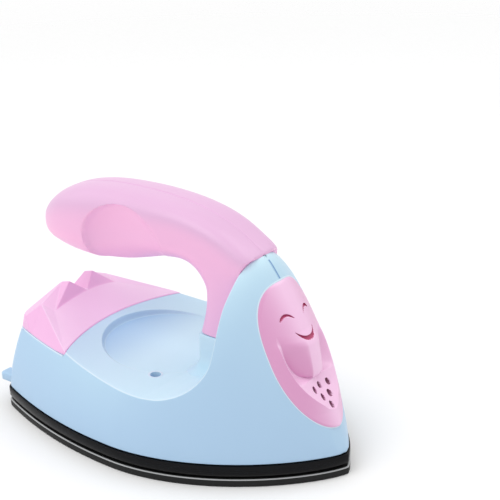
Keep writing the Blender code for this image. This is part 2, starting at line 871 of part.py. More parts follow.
def make_nose_cover():
    work = bmesh.new()
    circles = 9
    spokes = 2 * round_steps
    skins = []
    for depth in (0, nose_cover_thickness):
        centre = work.verts.new((wall_front(0, nose_cover_z) + relief(0, 0) - depth, 0, nose_cover_z))
        rows = []
        for circle in range(1, circles + 1):
            share = circle / circles
            row = []
            for spoke in range(spokes):
                angle = 2 * math.pi * spoke / spokes
                across, up = share * math.sin(angle), share * math.cos(angle)
                y, z = across * nose_cover_half_width, nose_cover_z + up * nose_cover_half_height
                x = wall_front(y, z) + relief(across, up) - depth
                row.append(work.verts.new((x, y, z)))
            rows.append(row)
        for spoke in range(spokes):
            work.faces.new((centre, rows[0][spoke], rows[0][(spoke + 1) % spokes]))
        for inner, outer in zip(rows, rows[1:]):
            for spoke in range(spokes):
                after = (spoke + 1) % spokes
                work.faces.new((inner[spoke], outer[spoke], outer[after], inner[after]))
        skins.append(rows[-1])
    for spoke in range(spokes):
        after = (spoke + 1) % spokes
        work.faces.new((skins[0][spoke], skins[0][after], skins[1][after], skins[1][spoke]))
    cover = new_object("nose_cover", work)
    for y, z in vent_places():
        x = wall_front(y, z)
        ends = (x - 4 * nose_cover_thickness, y, z), (x + 2 * nose_cover_thickness, y, z)
        cut(cover, rod("vent", *ends, vent_radius, 10, cutters))
    # Smile lines
    for side in (-1, 1):
        path = []
        for step in range(7):
            along = step / 3 - 1
            y = side * eye_y + along * eye_half_width
            z = eye_z + eye_half_width * (1 - along * along)
            path.append((wall_front(y, z) + nose_cover_proud, y, z))
        cut(cover, wire("eye_groove", path, smile_radius, cutters, 1))
    path = []
    for step in range(9):
        along = step / 4 - 1
        y = along * mouth_half_width
        z = mouth_z + mouth_half_width * mouth_bend_share * along * along
        path.append((wall_front(y, z) + nose_cover_proud, y, z))
    cut(cover, wire("mouth_groove", path, smile_radius, cutters, 1))
    paint(cover, (0.83, 0.44, 0.68), 0.32)


def vent_places():
    found = []
    for row, shares in vent_row_shares:
        found += [(share * vent_spacing, vent_top_z - row * vent_row_drop) for share in shares]
    return found


def make_rear_cover():
    """Faceted cover with two ears and a notch, on the seat behind the deck's arc."""
    base = cover_seat + seat_gap
    work = bmesh.new()
    rise = cover_ear_height - base

    def corner(key, side):
        x_share, y_share, z_share = cover_corner_shares[key]
        place = x_share * half_length, side * y_share * cover_half_width, base + z_share * rise
        return work.verts.new(place)

    def pair(key):
        return [corner(key, side) for side in (-1, 1)]

    arc_steps = 6
    arc_low = []
    arc_high = []
    front_y = wall_half_width(cover_front_share * half_length, base)
    for step in range(-arc_steps, arc_steps + 1):
        y = front_y * step / arc_steps
        x = cover_arc_x + cover_arc_radius - math.sqrt(cover_arc_radius ** 2 - y * y)
        top = deck_height + (x - deck_low_x) ** 2 / deck_curve
        arc_low.append(work.verts.new((x, y, base)))
        arc_high.append(work.verts.new((x, y, top + seat_gap)))
    centre = corner("centre", 1)
    valley = pair("valley")
    ridge = pair("ridge")
    ear_front = pair("ear_front")
    ear_back = pair("ear_back")
    notch = corner("notch", 1)
    heel_middle = pair("heel_middle")

    # Fold in front of the ears, one smooth curve from valley to valley
    fold = []
    for step in range(-arc_steps, arc_steps + 1):
        reach = abs(step) / arc_steps
        end = valley[0 if step < 0 else 1]
        if step == 0:
            fold.append(centre)
        elif reach == 1:
            fold.append(end)
        else:
            x = centre.co.x + (end.co.x - centre.co.x) * reach ** 2
            z = centre.co.z + (end.co.z - centre.co.z) * reach ** 2
            fold.append(work.verts.new((x, end.co.y * reach, z)))

    # Outline of the base from the arc's end round the heel corner
    outline = []
    wall_steps = 5
    first = arc_low[0].co.x
    last = heel_face(base) + heel_corner
    for step in range(1, wall_steps + 1):
        x = first + (last - first) * step / wall_steps
        outline.append((x, wall_half_width(x, base)))
    start = Vector(outline[-1])
    tip = Vector((heel_face(base), wall_half_width(heel_face(base), base)))
    end = tip - Vector((0, heel_corner))
    for turn in corner_turn_shares:
        point = start * (1 - turn) ** 2 + tip * 2 * turn * (1 - turn) + end * turn ** 2
        outline.append((point.x, point.y))
    low = []
    high = []
    heel_top = base + cover_heel_share * rise
    for side in (-1, 1):
        low.append([work.verts.new((x, side * y, base)) for x, y in outline])
        row = []
        for x, y in outline[wall_steps - 1:]:
            row.append(work.verts.new((x + cover_heel_lean, side * (y - cover_side_lean), heel_top)))
        high.append(row)
    work.faces.new(arc_low + low[1] + low[0][::-1])
    for left, right in ((i, i + 1) for i in range(len(arc_low) - 1)):
        work.faces.new((arc_low[left], arc_low[right], arc_high[right], arc_high[left]))
        work.faces.new((arc_high[left], arc_high[right], fold[right], fold[left]))
        work.faces.new((fold[left], fold[right], ear_front[0 if right <= arc_steps else 1]))
    for index, end in enumerate((0, -1)):
        a = arc_high[end]
        c = low[index]
        t = high[index]
        r = ridge[index]
        work.faces.new((r, valley[index], a))
        work.faces.new((valley[index], ear_front[index], ear_back[index]))
        work.faces.new((valley[index], ear_back[index], r))
        work.faces.new((centre, ear_front[index], ear_back[index], notch))
        work.faces.new((a, arc_low[end], c[0]))
        work.faces.new((a, c[0], r))
        for step in range(wall_steps - 2):
            work.faces.new((c[step], c[step + 1], r))
        work.faces.new((c[wall_steps - 2], c[wall_steps - 1], t[0]))
        work.faces.new((c[wall_steps - 2], t[0], r))
        for step in range(len(corner_turn_shares)):
            here = wall_steps - 1 + step
            work.faces.new((c[here], c[here + 1], t[step + 1], t[step]))
        work.faces.new((t[0], t[1], r))
        work.faces.new((t[1], heel_middle[index], r))
        work.faces.new((t[1], t[2], heel_middle[index]))
        work.faces.new((t[2], t[3], heel_middle[index]))
        work.faces.new((r, heel_middle[index], ear_back[index]))
        work.faces.new((heel_middle[index], ear_back[index], notch))
    work.faces.new((heel_middle[0], heel_middle[1], notch))
    work.faces.new((high[0][-1], high[1][-1], heel_middle[1], heel_middle[0]))
    work.faces.new((low[0][-1], low[1][-1], high[1][-1], high[0][-1]))
    bmesh.ops.recalc_face_normals(work, faces=work.faces)
    bmesh.ops.triangulate(work, faces=[face for face in work.faces if len(face.verts) == 4])
    cover = new_object("rear_cover", work, False)
    pocket_low = (
        cover_pocket_x - cover_pocket_length / 2,
        -cover_pocket_half_width,
        base - cut_overrun,
    )
    pocket_high = (
        cover_pocket_x + cover_pocket_length / 2,
        cover_pocket_half_width,
        base + cover_pocket_depth,
    )
    cut(cover, box("cover_pocket", pocket_low, pocket_high, cutters))
    for side in (-1, 1):
        place = (cover_screw_x, side * cover_screw_y)
        ends = (*place, base - cut_overrun), (*place, cover_seat + cover_screw_depth + seat_gap)
        cut(cover, rod("cover_bore", *ends, screw_radius + screw_clearance, small_steps, cutters))
    paint(cover, (0.87, 0.51, 0.76), 0.38)


def handle_section(station, side, shrink, half_gap):
    """Half ring of the handle at one station, on the side of the middle plane given by side."""
    index = handle_shares.index(station)
    top = Vector((station[0] * handle_reach, station[1] * handle_top))
    low = Vector((station[2] * handle_reach, station[3] * handle_top))
    wide = station[4] * handle_half_width
    middle = (top + low) / 2
    half = (top - low) / 2
    if shrink:
        wide = max(wide - shrink, wide / 3)
        half = half * max(half.length - shrink, half.length / 3) / half.length
    forward = index / (len(handle_shares) - 1)
    power = handle_round_power + (handle_square_power - handle_round_power) * forward ** 2
    ring = []
    for step in range(section_steps + 1):
        angle = math.pi * step / section_steps
        up = math.copysign(abs(math.cos(angle)) ** (2 / power), math.cos(angle))
        out = abs(math.sin(angle)) ** (2 / power) if 0 < step < section_steps else 0
        place = middle + half * up
        ring.append(Vector((place.x, side * (half_gap + (wide - half_gap) * out), place.y)))
    return ring


def grip_scoop(name, side, grow):
    """Ellipsoid that hollows one side of the handle, grown by a wall where asked."""
    work = bmesh.new()
    bmesh.ops.create_uvsphere(work, u_segments=28, v_segments=14, radius=1)
    half_sizes = [size / 2 + grow for size in (grip_scoop_length, grip_scoop_bulge, grip_scoop_height)]
    lean = Matrix.Rotation(side * grip_scoop_tilt, 4, "X") @ Matrix.Rotation(-grip_scoop_rise, 4, "Y")
    place = Matrix.Translation((grip_scoop_x, side * grip_scoop_y, grip_scoop_z))
    bmesh.ops.transform(work, matrix=place @ lean @ Matrix.Diagonal((*half_sizes, 1)), verts=work.verts[:])
    return new_object(name, work, True, cutters)


def make_handle(name, side):
    half_gap = seat_gap / 2
    rings = [handle_section(station, side, 0, half_gap) for station in handle_shares]
    handle = loft(name, rings)
    hollow_stations = handle_shares[handle_hollow_first:handle_hollow_last + 1]
    rings = [handle_section(station, side, handle_wall, -cut_overrun) for station in hollow_stations]
    hollow = loft(name + "_hollow", rings, True, cutters)
    cut(hollow, grip_scoop(name + "_scoop_wall", side, handle_wall))
    cut(handle, hollow)

    # Oval scoop for the fingertips
    cut(handle, grip_scoop(name + "_scoop", side, 0))

    # Room for the tower's rear face, and the screw from inside the tower
    line = tower_profile(-seat_gap)
    front = half_length
    bottom = pedestal_top + seat_gap
    line = [point for point in line if point[1] > deck_height + (crown_height - deck_height) / 4]
    line[0] = (line[0][0], deck_height)
    room = [(line[-1][0] + cut_overrun, crown_height + 20 * cut_overrun)]
    room += [(front, crown_height + 20 * cut_overrun), (front, deck_height)]
    cut(handle, slab(name + "_room", line + room, sole_half_width, cutters))
    foot_low = (-handle_reach, -sole_half_width, 0)
    foot_high = (front, sole_half_width, bottom)
    cut(handle, box(name + "_foot", foot_low, foot_high, cutters))
    for y, z in handle_screw_places():
        if y * side > 0:
            depth = handle_screw_depth + seat_gap
            ends = (tower_x - depth, y, z), (tower_x + cut_overrun, y, z)
            hole = screw_radius + screw_clearance
            cut(handle, rod(name + "_bore", *ends, hole, small_steps, cutters))
    paint(handle, (0.87, 0.51, 0.76), 0.36)


def make_heater():
    low_x, high_x = heater_x - heater_length / 2, heater_x + heater_length / 2
    half = heater_width / 2
    heater = box("heater_plate", (low_x, -half, heater_base), (high_x, half, heater_top))
    mica = box("mica_sheet", (low_x, -half, mica_base), (high_x, half, mica_base + mica_thickness))
    clamp_low = (heater_x - clamp_length / 2, -clamp_width / 2, clamp_base)
    clamp_high = (heater_x + clamp_length / 2, clamp_width / 2, clamp_top)
    clamp = box("heater_clamp", clamp_low, clamp_high)
    for number, x in enumerate(heater_screw_places(), 1):
        hole = screw_radius + screw_clearance
        ends = (x, 0, heater_base - cut_overrun), (x, 0, clamp_top + cut_overrun)
        bore = rod("clamp_bore", *ends, hole, small_steps, cutters)
        for piece in (heater, mica, clamp):
            cut(piece, bore)
        depth = clamp_top + seat_gap - sole_skin - seat_gap
        screw("heater_screw_" + str(number), (x, 0, clamp_top), (0, 0, -1), depth)
    paint(heater, (0.62, 0.63, 0.62), 0.4, 0.8)
    paint(mica, (0.62, 0.52, 0.34), 0.4)
    paint(clamp, (0.55, 0.56, 0.57), 0.35, 1.0)

    # Thermostat disc and thermal fuse on the clamp
    seat = clamp_top + seat_gap
    rim = thermostat_height / 6
    profile = [
        (0, thermostat_height),
        (thermostat_radius * 0.7, thermostat_height),
        (thermostat_radius * 0.7, thermostat_height - rim),
        (thermostat_radius, thermostat_height - 2 * rim),
        (thermostat_radius, 0),
        (0, 0),
    ]
    thermostat = turned("thermostat", profile, Matrix.Translation((thermostat_x, 0, seat)), round_steps)
    paint(thermostat, (0.08, 0.08, 0.08), 0.5)
    z = seat + fuse_radius
    ends = (fuse_x, -fuse_length / 2, z), (fuse_x, fuse_length / 2, z)
    fuse = rod("thermal_fuse", *ends, fuse_radius)
    paint(fuse, (0.75, 0.72, 0.62), 0.35, 0.6)


def block_front_x():
    """x of the contact block's heel side."""
    return heel_face(contact_z + block_height / 2) + shell_wall + seat_gap


def make_contacts():
    start = block_front_x()
    end = start + block_length
    low = shell_base
    block = box("contact_block", (start, -block_width / 2, low), (end, block_width / 2, low + block_height))
    chamber_start = start + block_front
    chamber_end = end - block_back
    for name, side in (("right", -1), ("left", 1)):
        y = side * contact_y
        bore = (start - cut_overrun, y, contact_z), (chamber_start + cut_overrun, y, contact_z)
        cut(block, rod("pin_bore", *bore, pin_radius + pin_clearance, small_steps, cutters))
        room = (chamber_start, y, contact_z), (chamber_end, y, contact_z)
        room_radius = pin_collar_radius + pin_clearance
        cut(block, rod("pin_chamber", *room, room_radius, small_steps, cutters))

        # Pin: its round tip stands out of the heel wall, its collar rests behind the block's front
        collar_start = chamber_start + seat_gap
        tip = heel_face(contact_z) - pin_reach
        length = collar_start - tip
        tip_round = [(pin_radius * out, length - pin_radius * back) for out, back in pin_tip_shares]
        profile = [
            (0, length),
            *tip_round,
            (pin_radius, 0),
            (pin_collar_radius, 0),
            (pin_collar_radius, -pin_collar_length),
            (0, -pin_collar_length),
        ]
        turn = Matrix.Rotation(math.radians(-90), 4, "Y")
        pin = turned("contact_pin_" + name, profile, Matrix.Translation((collar_start, y, contact_z)) @ turn)
        paint(pin, (0.80, 0.62, 0.30), 0.25, 1.0)

        # Coil spring between the collar and the chamber's end
        spring_start = collar_start + pin_collar_length + seat_gap + spring_wire_radius
        spring_end = chamber_end - seat_gap - spring_wire_radius
        spring_radius = pin_collar_radius - 2 * spring_wire_radius
        count = 10 * spring_turns
        path = []
        for step in range(count + 1):
            share = step / count
            angle = 2 * math.pi * spring_turns * share
            x = spring_start + (spring_end - spring_start) * share
            path.append((x, y + spring_radius * math.cos(angle), contact_z + spring_radius * math.sin(angle)))
        spring = wire("contact_spring_" + name, path, spring_wire_radius, None, 1)
        paint(spring, (0.6, 0.61, 0.62), 0.3, 1.0)
    paint(block, (0.80, 0.79, 0.75), 0.6)


def make_lamp():
    low = shell_base + rib_height + seat_gap
    half = board_width / 2
    board = box("lamp_board", (board_x, -half, low), (board_x + board_thickness, half, low + board_height))
    soften(board, seat_gap, 60, 1)
    paint(board, (0.05, 0.22, 0.10), 0.4)
    start = board_x + board_thickness + seat_gap
    z = vent_top_z - vent_row_drop
    profile = [
        (0, lamp_length),
        (lamp_radius * 0.6, lamp_length - lamp_radius * 0.15),
        (lamp_radius, lamp_length - lamp_radius),
        (lamp_radius, 0),
        (0, 0),
    ]
    place = Matrix.Translation((start, 0, z)) @ Matrix.Rotation(math.radians(90), 4, "Y")
    lamp = turned("indicator_lamp", profile, place)
    paint(lamp, (0.75, 0.08, 0.06), 0.2)


def make_leads():
    """Insulated leads, each from face to face with a seat gap at both ends."""
    block_end = block_front_x() + block_length + seat_gap
    lead_z = clamp_top + seat_gap + 2 * lead_radius
    high_z = shell_base + block_height - 2 * lead_radius
    fuse_side = fuse_length / 2 + seat_gap
    fuse_z = clamp_top + seat_gap + fuse_radius
    clamp_side = clamp_width / 2 + 3 * lead_radius
    disc_side = thermostat_radius + seat_gap
    mid_x = (block_end + thermostat_x) / 2
    supply = [
        (block_end, contact_y, high_z),
        (block_end + 4 * lead_radius, contact_y, high_z),
        (mid_x, clamp_side + 2 * lead_radius, lead_z + lead_radius),
        (thermostat_x, clamp_side + 2 * lead_radius, fuse_z),
        (fuse_x - 3 * lead_radius, clamp_side + lead_radius, fuse_z),
        (fuse_x, clamp_side, fuse_z),
        (fuse_x, fuse_side, fuse_z),
    ]
    back = [
        (block_end, -contact_y, high_z),
        (block_end + 4 * lead_radius, -contact_y, high_z),
        (mid_x, -contact_y / 2, lead_z + 3 * lead_radius),
        (thermostat_x - disc_side - 3 * lead_radius, 0, lead_z + lead_radius),
        (thermostat_x - disc_side, 0, lead_z + lead_radius),
    ]
    heat = [
        (fuse_x, -fuse_side, fuse_z),
        (fuse_x, -fuse_side - 3 * lead_radius, fuse_z),
        (fuse_x - 3 * lead_radius, -fuse_side - 6 * lead_radius, fuse_z - lead_radius / 2),
        (fuse_x - 5 * lead_radius, -fuse_side - 7 * lead_radius, fuse_z - 3 * lead_radius),
        (fuse_x - 5 * lead_radius, -fuse_side - 7 * lead_radius, mica_base + mica_thickness + seat_gap),
    ]
    board_low = shell_base + rib_height + seat_gap + 4 * lead_radius
    lamp = [
        (thermostat_x + disc_side, 0, lead_z + lead_radius),
        (fuse_x - fuse_radius - 4 * lead_radius, 0, lead_z + 2 * lead_radius),
        (fuse_x - fuse_radius, 0, fuse_z + fuse_radius + 2 * lead_radius),
        (fuse_x + fuse_radius, 0, fuse_z + fuse_radius + 2 * lead_radius),
        (heater_x + clamp_length / 2 + 4 * lead_radius, 0, board_low + lead_radius),
        (board_x - 4 * lead_radius, 0, board_low),
        (board_x - seat_gap, 0, board_low),
    ]
    colours = ((0.75, 0.75, 0.73), (0.05, 0.05, 0.05), (0.75, 0.75, 0.73), (0.6, 0.06, 0.05))
    names = ("lead_supply", "lead_return", "lead_heater", "lead_lamp")
    for name, path, colour in zip(names, (supply, back, heat, lamp), colours):
        lead = wire(name, path, lead_radius)
        paint(lead, colour, 0.5)


def make_screws():
    for number, (x, y) in enumerate(deck_screw_places(), 1):
        seat = shell_base + deck_boss_seat
        depth = seat + seat_gap - sole_thickness - 3 * seat_gap
        screw("deck_screw_" + str(number), (x, y, seat), (0, 0, -1), depth)
    for number, (x, y) in enumerate(base_screw_places(), 1):
        seat = skirt_base + base_head_room()
        reach = base_screw_depth if x < 0 else rib_height
        depth = shell_base + reach - seat
        screw("base_screw_" + str(number), (x, y, seat), (0, 0, 1), depth)
    for number, (y, z) in enumerate(handle_screw_places(), 1):
        seat = tower_inner_x(z)
        screw("handle_screw_" + str(number), (seat, y, z), (-1, 0, 0), seat - tower_x + handle_screw_depth)
    for number, side in enumerate((-1, 1), 1):
        seat = cover_seat - shell_wall
        place = (cover_screw_x, side * cover_screw_y, seat)
        screw("cover_screw_" + str(number), place, (0, 0, 1), shell_wall + cover_screw_depth)


def tower_inner_x(z):
    """x of the tower's rear wall, inside, at height z."""
    line = sorted((b, a) for a, b in tower_profile(shell_wall))
    for (low_z, low_x), (high_z, high_x) in zip(line, line[1:]):
        if low_z <= z <= high_z:
            return low_x + (high_x - low_x) * (z - low_z) / (high_z - low_z)
    return tower_x + shell_wall


make_sole()
make_ring()
make_skirt()
make_housing()
make_nose_cover()
make_rear_cover()
make_handle("handle_right", -1)
make_handle("handle_left", 1)
make_heater()
make_contacts()
make_lamp()
make_leads()
make_screws()
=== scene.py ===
import math
import bmesh
import bpy
import numpy as np
from mathutils import Matrix, Vector


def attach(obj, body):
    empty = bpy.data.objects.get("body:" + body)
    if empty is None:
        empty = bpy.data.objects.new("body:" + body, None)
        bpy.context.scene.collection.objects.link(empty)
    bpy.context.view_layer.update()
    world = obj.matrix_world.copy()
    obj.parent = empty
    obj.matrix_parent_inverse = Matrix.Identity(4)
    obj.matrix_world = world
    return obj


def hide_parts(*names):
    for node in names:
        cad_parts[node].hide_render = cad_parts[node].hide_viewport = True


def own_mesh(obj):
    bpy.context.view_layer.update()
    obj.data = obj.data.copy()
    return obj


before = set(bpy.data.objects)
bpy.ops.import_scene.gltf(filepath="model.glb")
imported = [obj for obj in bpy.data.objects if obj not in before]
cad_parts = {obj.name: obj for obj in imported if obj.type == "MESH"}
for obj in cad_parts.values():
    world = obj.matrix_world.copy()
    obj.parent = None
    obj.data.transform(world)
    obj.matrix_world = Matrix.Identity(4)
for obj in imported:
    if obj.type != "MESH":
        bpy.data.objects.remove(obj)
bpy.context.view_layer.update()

# Shapes are worked out in millimetres in the row frame: nose along +X, up along +Z.
mm = 0.001


def mathOperator(operation):
    # An operator and its reflected form, each as one Math node
    def forward(self, other):
        return self.owner.node("ShaderNodeMath", {"operation": operation}, {0: self, 1: other})

    def reflected(self, other):
        return self.owner.node("ShaderNodeMath", {"operation": operation}, {0: other, 1: self})

    return forward, reflected


class Sock:
    # An output socket that can stand in sums with numbers and other sockets
    def __init__(self, owner, source):
        self.owner = owner
        self.source = source

    __add__, __radd__ = mathOperator("ADD")
    __sub__, __rsub__ = mathOperator("SUBTRACT")
    __mul__, __rmul__ = mathOperator("MULTIPLY")
    __pow__, __rpow__ = mathOperator("POWER")

    def maths(self, operation, *others):
        return self.owner.node("ShaderNodeMath", {"operation": operation}, dict(enumerate((self, *others))))

    def step(self, low, high):
        # 0 at low, 1 at high, smooth between
        sockets = {"Value": self, "From Min": low, "From Max": high}
        return self.owner.node("ShaderNodeMapRange", {"interpolation_type": "SMOOTHSTEP"}, sockets)


class Nodes:
    # The node tree of a material or a world
    def __init__(self, holder):
        holder.use_nodes = True
        self.tree = holder.node_tree
        self.tree.nodes.clear()

    def node(self, kind, settings, sockets, out=0):
        made = self.tree.nodes.new(kind)
        for key, value in settings.items():
            setattr(made, key, value)
        for key, value in sockets.items():
            if isinstance(value, Sock):
                self.tree.links.new(value.source, made.inputs[key])
            else:
                made.inputs[key].default_value = value
        return Sock(self, made.outputs[out]) if made.outputs else None

    def beside(self, sock, out):
        # Another output of the node that a socket belongs to
        return Sock(self, sock.source.node.outputs[out])


class Finish(Nodes):
    # A material whose shader is fed by sums of procedural textures; constants are the shader's own values
    def __init__(self, name, **constants):
        self.material = bpy.data.materials.new(name)
        super().__init__(self.material)
        values = {key.replace("_", " "): value for key, value in constants.items()}
        shader = self.node("ShaderNodeBsdfPrincipled", {}, values)
        self.inputs = shader.source.node.inputs
        self.node("ShaderNodeOutputMaterial", {}, {"Surface": shader})
        self.place = self.node("ShaderNodeTexCoord", {}, {}, "Object")
        x = self.node("ShaderNodeSeparateXYZ", {}, {"Vector": self.place}, "X")
        self.x, self.y, self.z = (self.beside(x, axis) * (1 / mm) for axis in "XYZ")  # in millimetres

    def noise(self, scale, detail=2.0, rough=0.5, vector=None):
        sockets = {"Vector": vector or self.place, "Scale": scale, "Detail": detail, "Roughness": rough}
        return self.node("ShaderNodeTexNoise", {}, sockets)

    def mix(self, factor, low, high):
        # Inputs 6 and 7 and output 2 are the Mix node's colour sockets
        sockets = {0: factor}
        for key, shade in ((6, low), (7, high)):
            sockets[key] = shade if isinstance(shade, Sock) else (*shade, 1.0)
        return self.node("ShaderNodeMix", {"data_type": "RGBA", "clamp_factor": True}, sockets, 2)

    def feed(self, name, value):
        self.tree.links.new(value.source, self.inputs[name])

    def bump(self, height, distance):
        self.feed("Normal", self.node("ShaderNodeBump", {}, {"Height": height, "Distance": distance}))


plasticGrain = {
    "cloud": 45.0, "speck": 900.0, "cloudShare": 0.8, "speckShare": 0.2, "middle": 0.25, "contrast": 1.6,
    "glossPatch": 160.0, "glossSpread": 0.1, "peel": 420.0, "finePeel": 2200.0, "finePeelShare": 0.3,
    "detail": 3.0, "finePeelDetail": 1.0,
}
metalGrain = {
    "stretch": (40.0, 900.0, 900.0), "line": 3.0, "lineDetail": 4.0, "lineRough": 0.6, "cloud": 120.0,
    "cloudDetail": 3.0, "glossSpread": 0.25, "depth": 0.00002,
}
sheetGrain = {"fleck": 380.0, "contrast": 1.2, "glossSpread": 0.15, "depth": 0.00003}


def plastic(name, shade, low, rough, peel=0.00002, gloss=0.5, paintedLight=None, recessShade=None):
    # Moulded plastic: faint mottling, uneven gloss and fine orange peel; the optional tones paint light and
    # shade into its colour, by where each face points and in the deck's recess
    g = plasticGrain
    look = Finish(name, Specular_IOR_Level=gloss)
    cloud, speck = look.noise(g["cloud"], g["detail"]), look.noise(g["speck"])
    mottle = (cloud * g["cloudShare"] + speck * g["speckShare"] - g["middle"]) * g["contrast"]
    tone = look.mix(mottle, low, shade)
    # Painted light and shade: a second tone by where each face points
    if paintedLight:
        tone = look.mix(paintedLightShare(look, paintedLight), tone, paintedLight["tone"])
    # Painted shade in the deck's round recess
    if recessShade:
        tone = look.mix(recessShadeShare(look, recessShade), tone, recessShade["tone"])
    look.feed("Base Color", tone)
    look.feed("Roughness", rough + (look.noise(g["glossPatch"], g["detail"]) - 0.5) * g["glossSpread"])
    fine = look.noise(g["finePeel"], g["finePeelDetail"])
    look.bump(look.noise(g["peel"]) + fine * g["finePeelShare"], peel)
    return look.material


def paintedLightShare(look, paintedLight):
    # How far a face points up, or sideways for the Y axis; within fades it in along x. This share mixes in
    # painted light or painted shade, by where a face points
    normal = look.node("ShaderNodeNewGeometry", {}, {}, "Normal")
    axis = paintedLight.get("axis", "Z")
    along = look.node("ShaderNodeSeparateXYZ", {}, {"Vector": normal}, axis)
    if axis == "Y":
        along = along * look.y.maths("SIGN")
    share = along.step(*paintedLight["reach"])
    return share * look.x.step(*paintedLight["within"]) if "within" in paintedLight else share


def recessShadeShare(look, recessShade):
    # Painted shade: how far a point lies inside the deck's round recess, more so at its rear
    radius, top, soft = recessShade["radius"], recessShade["top"], recessShade["soft"]
    away = ((look.x - recessShade["x"]) ** 2 + look.y ** 2) ** 0.5
    inside = away.step(radius, radius - soft) * look.z.step(top, top - soft)
    return inside * look.x.step(*recessShade["fade"]) * recessShade["share"]


def metal(name, shade, low, rough, scratches=1.0):
    # Brushed metal: long fine scratches that change the gloss
    g = metalGrain
    look = Finish(name, Metallic=1.0)
    stretch = look.node("ShaderNodeVectorMath", {"operation": "MULTIPLY"}, {0: look.place, 1: g["stretch"]})
    grain = look.noise(g["line"], g["lineDetail"], g["lineRough"], stretch)
    look.feed("Base Color", look.mix(look.noise(g["cloud"], g["cloudDetail"]), low, shade))
    look.feed("Roughness", rough + (grain - 0.5) * g["glossSpread"])
    look.bump(grain, g["depth"] * scratches)
    return look.material


def sheetLook(name, shade, low, rough):
    # Flecked sheet for the mica and the circuit board
    g = sheetGrain
    look = Finish(name)
    flecks = look.node("ShaderNodeTexVoronoi", {}, {"Vector": look.place, "Scale": g["fleck"]})
    look.feed("Base Color", look.mix(flecks * g["contrast"], low, shade))
    look.feed("Roughness", rough + flecks * g["glossSpread"])
    look.bump(flecks, g["depth"])
    return look.material


# Name, shade, darker mottling and roughness; then for plastic the depth of its peel in metres and its
# specular level, and for metal how deep its scratches are
looks = {
    "blue": plastic(
        "lightBluePlastic", (0.415, 0.60, 0.80), (0.40, 0.585, 0.785), 0.34, 0.000012,
        # Painted light: up-facing faces get a paler blue, fading in towards the front
        paintedLight={"tone": (0.57, 0.79, 0.89), "reach": (0.1, 0.95), "within": (-70, 0)},
        # Painted shade: a darker blue on the recess floor, deepest at its rear
        recessShade={
            "tone": (0.33, 0.54, 0.76), "x": -9.5, "radius": 21.1, "soft": 0.8, "top": 28.6,
            "fade": (-6, -30), "share": 0.85,
        },
    ),
    # Painted light: a paler copy of the housing blue for the post, its up-facing faces painted less bright
    "post": plastic(
        "paintedLightBluePost", (0.62, 0.78, 0.89), (0.60, 0.765, 0.88), 0.34, 0.000012,
        paintedLight={"tone": (0.52, 0.74, 0.865), "reach": (0.05, 0.6)},
    ),
    # Painted shade: darker blue in the crown channel and round the contact pins
    "groove": plastic("paintedShadeBlue", (0.20, 0.36, 0.60), (0.17, 0.32, 0.56), 0.5),
    # Painted highlight: paler blue on the rounded edges, the seat, the screw-hole lips and the nose opening
    "rim": plastic("paintedHighlightBlue", (0.66, 0.79, 0.90), (0.63, 0.77, 0.88), 0.3, 0.000012),
    "pink": plastic(
        "pinkPlastic", (0.745, 0.455, 0.68), (0.73, 0.44, 0.665), 0.33, 0.000012,
        # Painted shade: faces turned down get a deeper, more saturated pink, as bounced light in shade
        paintedLight={"tone": (0.97, 0.49, 0.75), "reach": (0.55, -0.35)},
    ),
    "rear": plastic(
        "pinkCover", (0.86, 0.475, 0.75), (0.845, 0.46, 0.735), 0.36, 0.000012,
        # Painted light: up-facing faces get a paler pink
        paintedLight={"tone": (0.89, 0.62, 0.84), "reach": (0.7, 0.97)},
    ),
    "nose": plastic(
        "deepPinkPlastic", (0.90, 0.575, 0.80), (0.885, 0.56, 0.785), 0.30, 0.000012,
        # Painted shade: faces turned sideways get a darker pink
        paintedLight={"tone": (0.71, 0.33, 0.56), "axis": "Y", "reach": (0.1, 0.65)},
    ),
    # Painted shade: dark floors for the sunk lines and the vents
    "slit": plastic("slitPaintedShade", (0.52, 0.06, 0.18), (0.44, 0.045, 0.14), 0.45),
    "vent": plastic("ventPaintedShade", (0.34, 0.13, 0.22), (0.26, 0.09, 0.17), 0.6),
    "sole": plastic("soleCoating", (0.014, 0.014, 0.014), (0.010, 0.010, 0.010), 0.5, 0.00003, 0.2),
    # Partly painted highlight: the sole plate's bare upper edge, in a pale grey
    "edge": plastic("soleEdge", (0.50, 0.51, 0.52), (0.38, 0.39, 0.40), 0.35),
    "skirt": plastic("glossBlackPlastic", (0.004, 0.004, 0.005), (0.003, 0.003, 0.004), 0.14, 0.00001, 0.12),
    "ring": plastic("darkRing", (0.02, 0.02, 0.02), (0.012, 0.012, 0.012), 0.6),
    "white": plastic("whiteSleeve", (0.72, 0.72, 0.70), (0.66, 0.66, 0.64), 0.5),
    "black": plastic("blackSleeve", (0.04, 0.04, 0.04), (0.03, 0.03, 0.03), 0.5),
    "red": plastic("redSleeve", (0.60, 0.06, 0.05), (0.50, 0.05, 0.04), 0.45),
    "block": plastic("paleBlock", (0.76, 0.75, 0.70), (0.70, 0.69, 0.64), 0.6),
    "board": sheetLook("greenBoard", (0.05, 0.24, 0.10), (0.03, 0.16, 0.07), 0.4),
    "mica": sheetLook("micaFlakes", (0.66, 0.56, 0.38), (0.50, 0.40, 0.24), 0.35),
    "lamp": plastic("redLamp", (0.80, 0.08, 0.06), (0.70, 0.06, 0.05), 0.15),
    "steel": metal("brightSteel", (0.66, 0.67, 0.68), (0.54, 0.55, 0.56), 0.32),
    "alloy": metal("castAlloy", (0.60, 0.61, 0.61), (0.48, 0.49, 0.50), 0.5, 2.0),
    "brass": metal("platedPin", (0.78, 0.70, 0.50), (0.66, 0.58, 0.40), 0.28),
    "dark": metal("darkCan", (0.16, 0.16, 0.17), (0.10, 0.10, 0.11), 0.45),
}
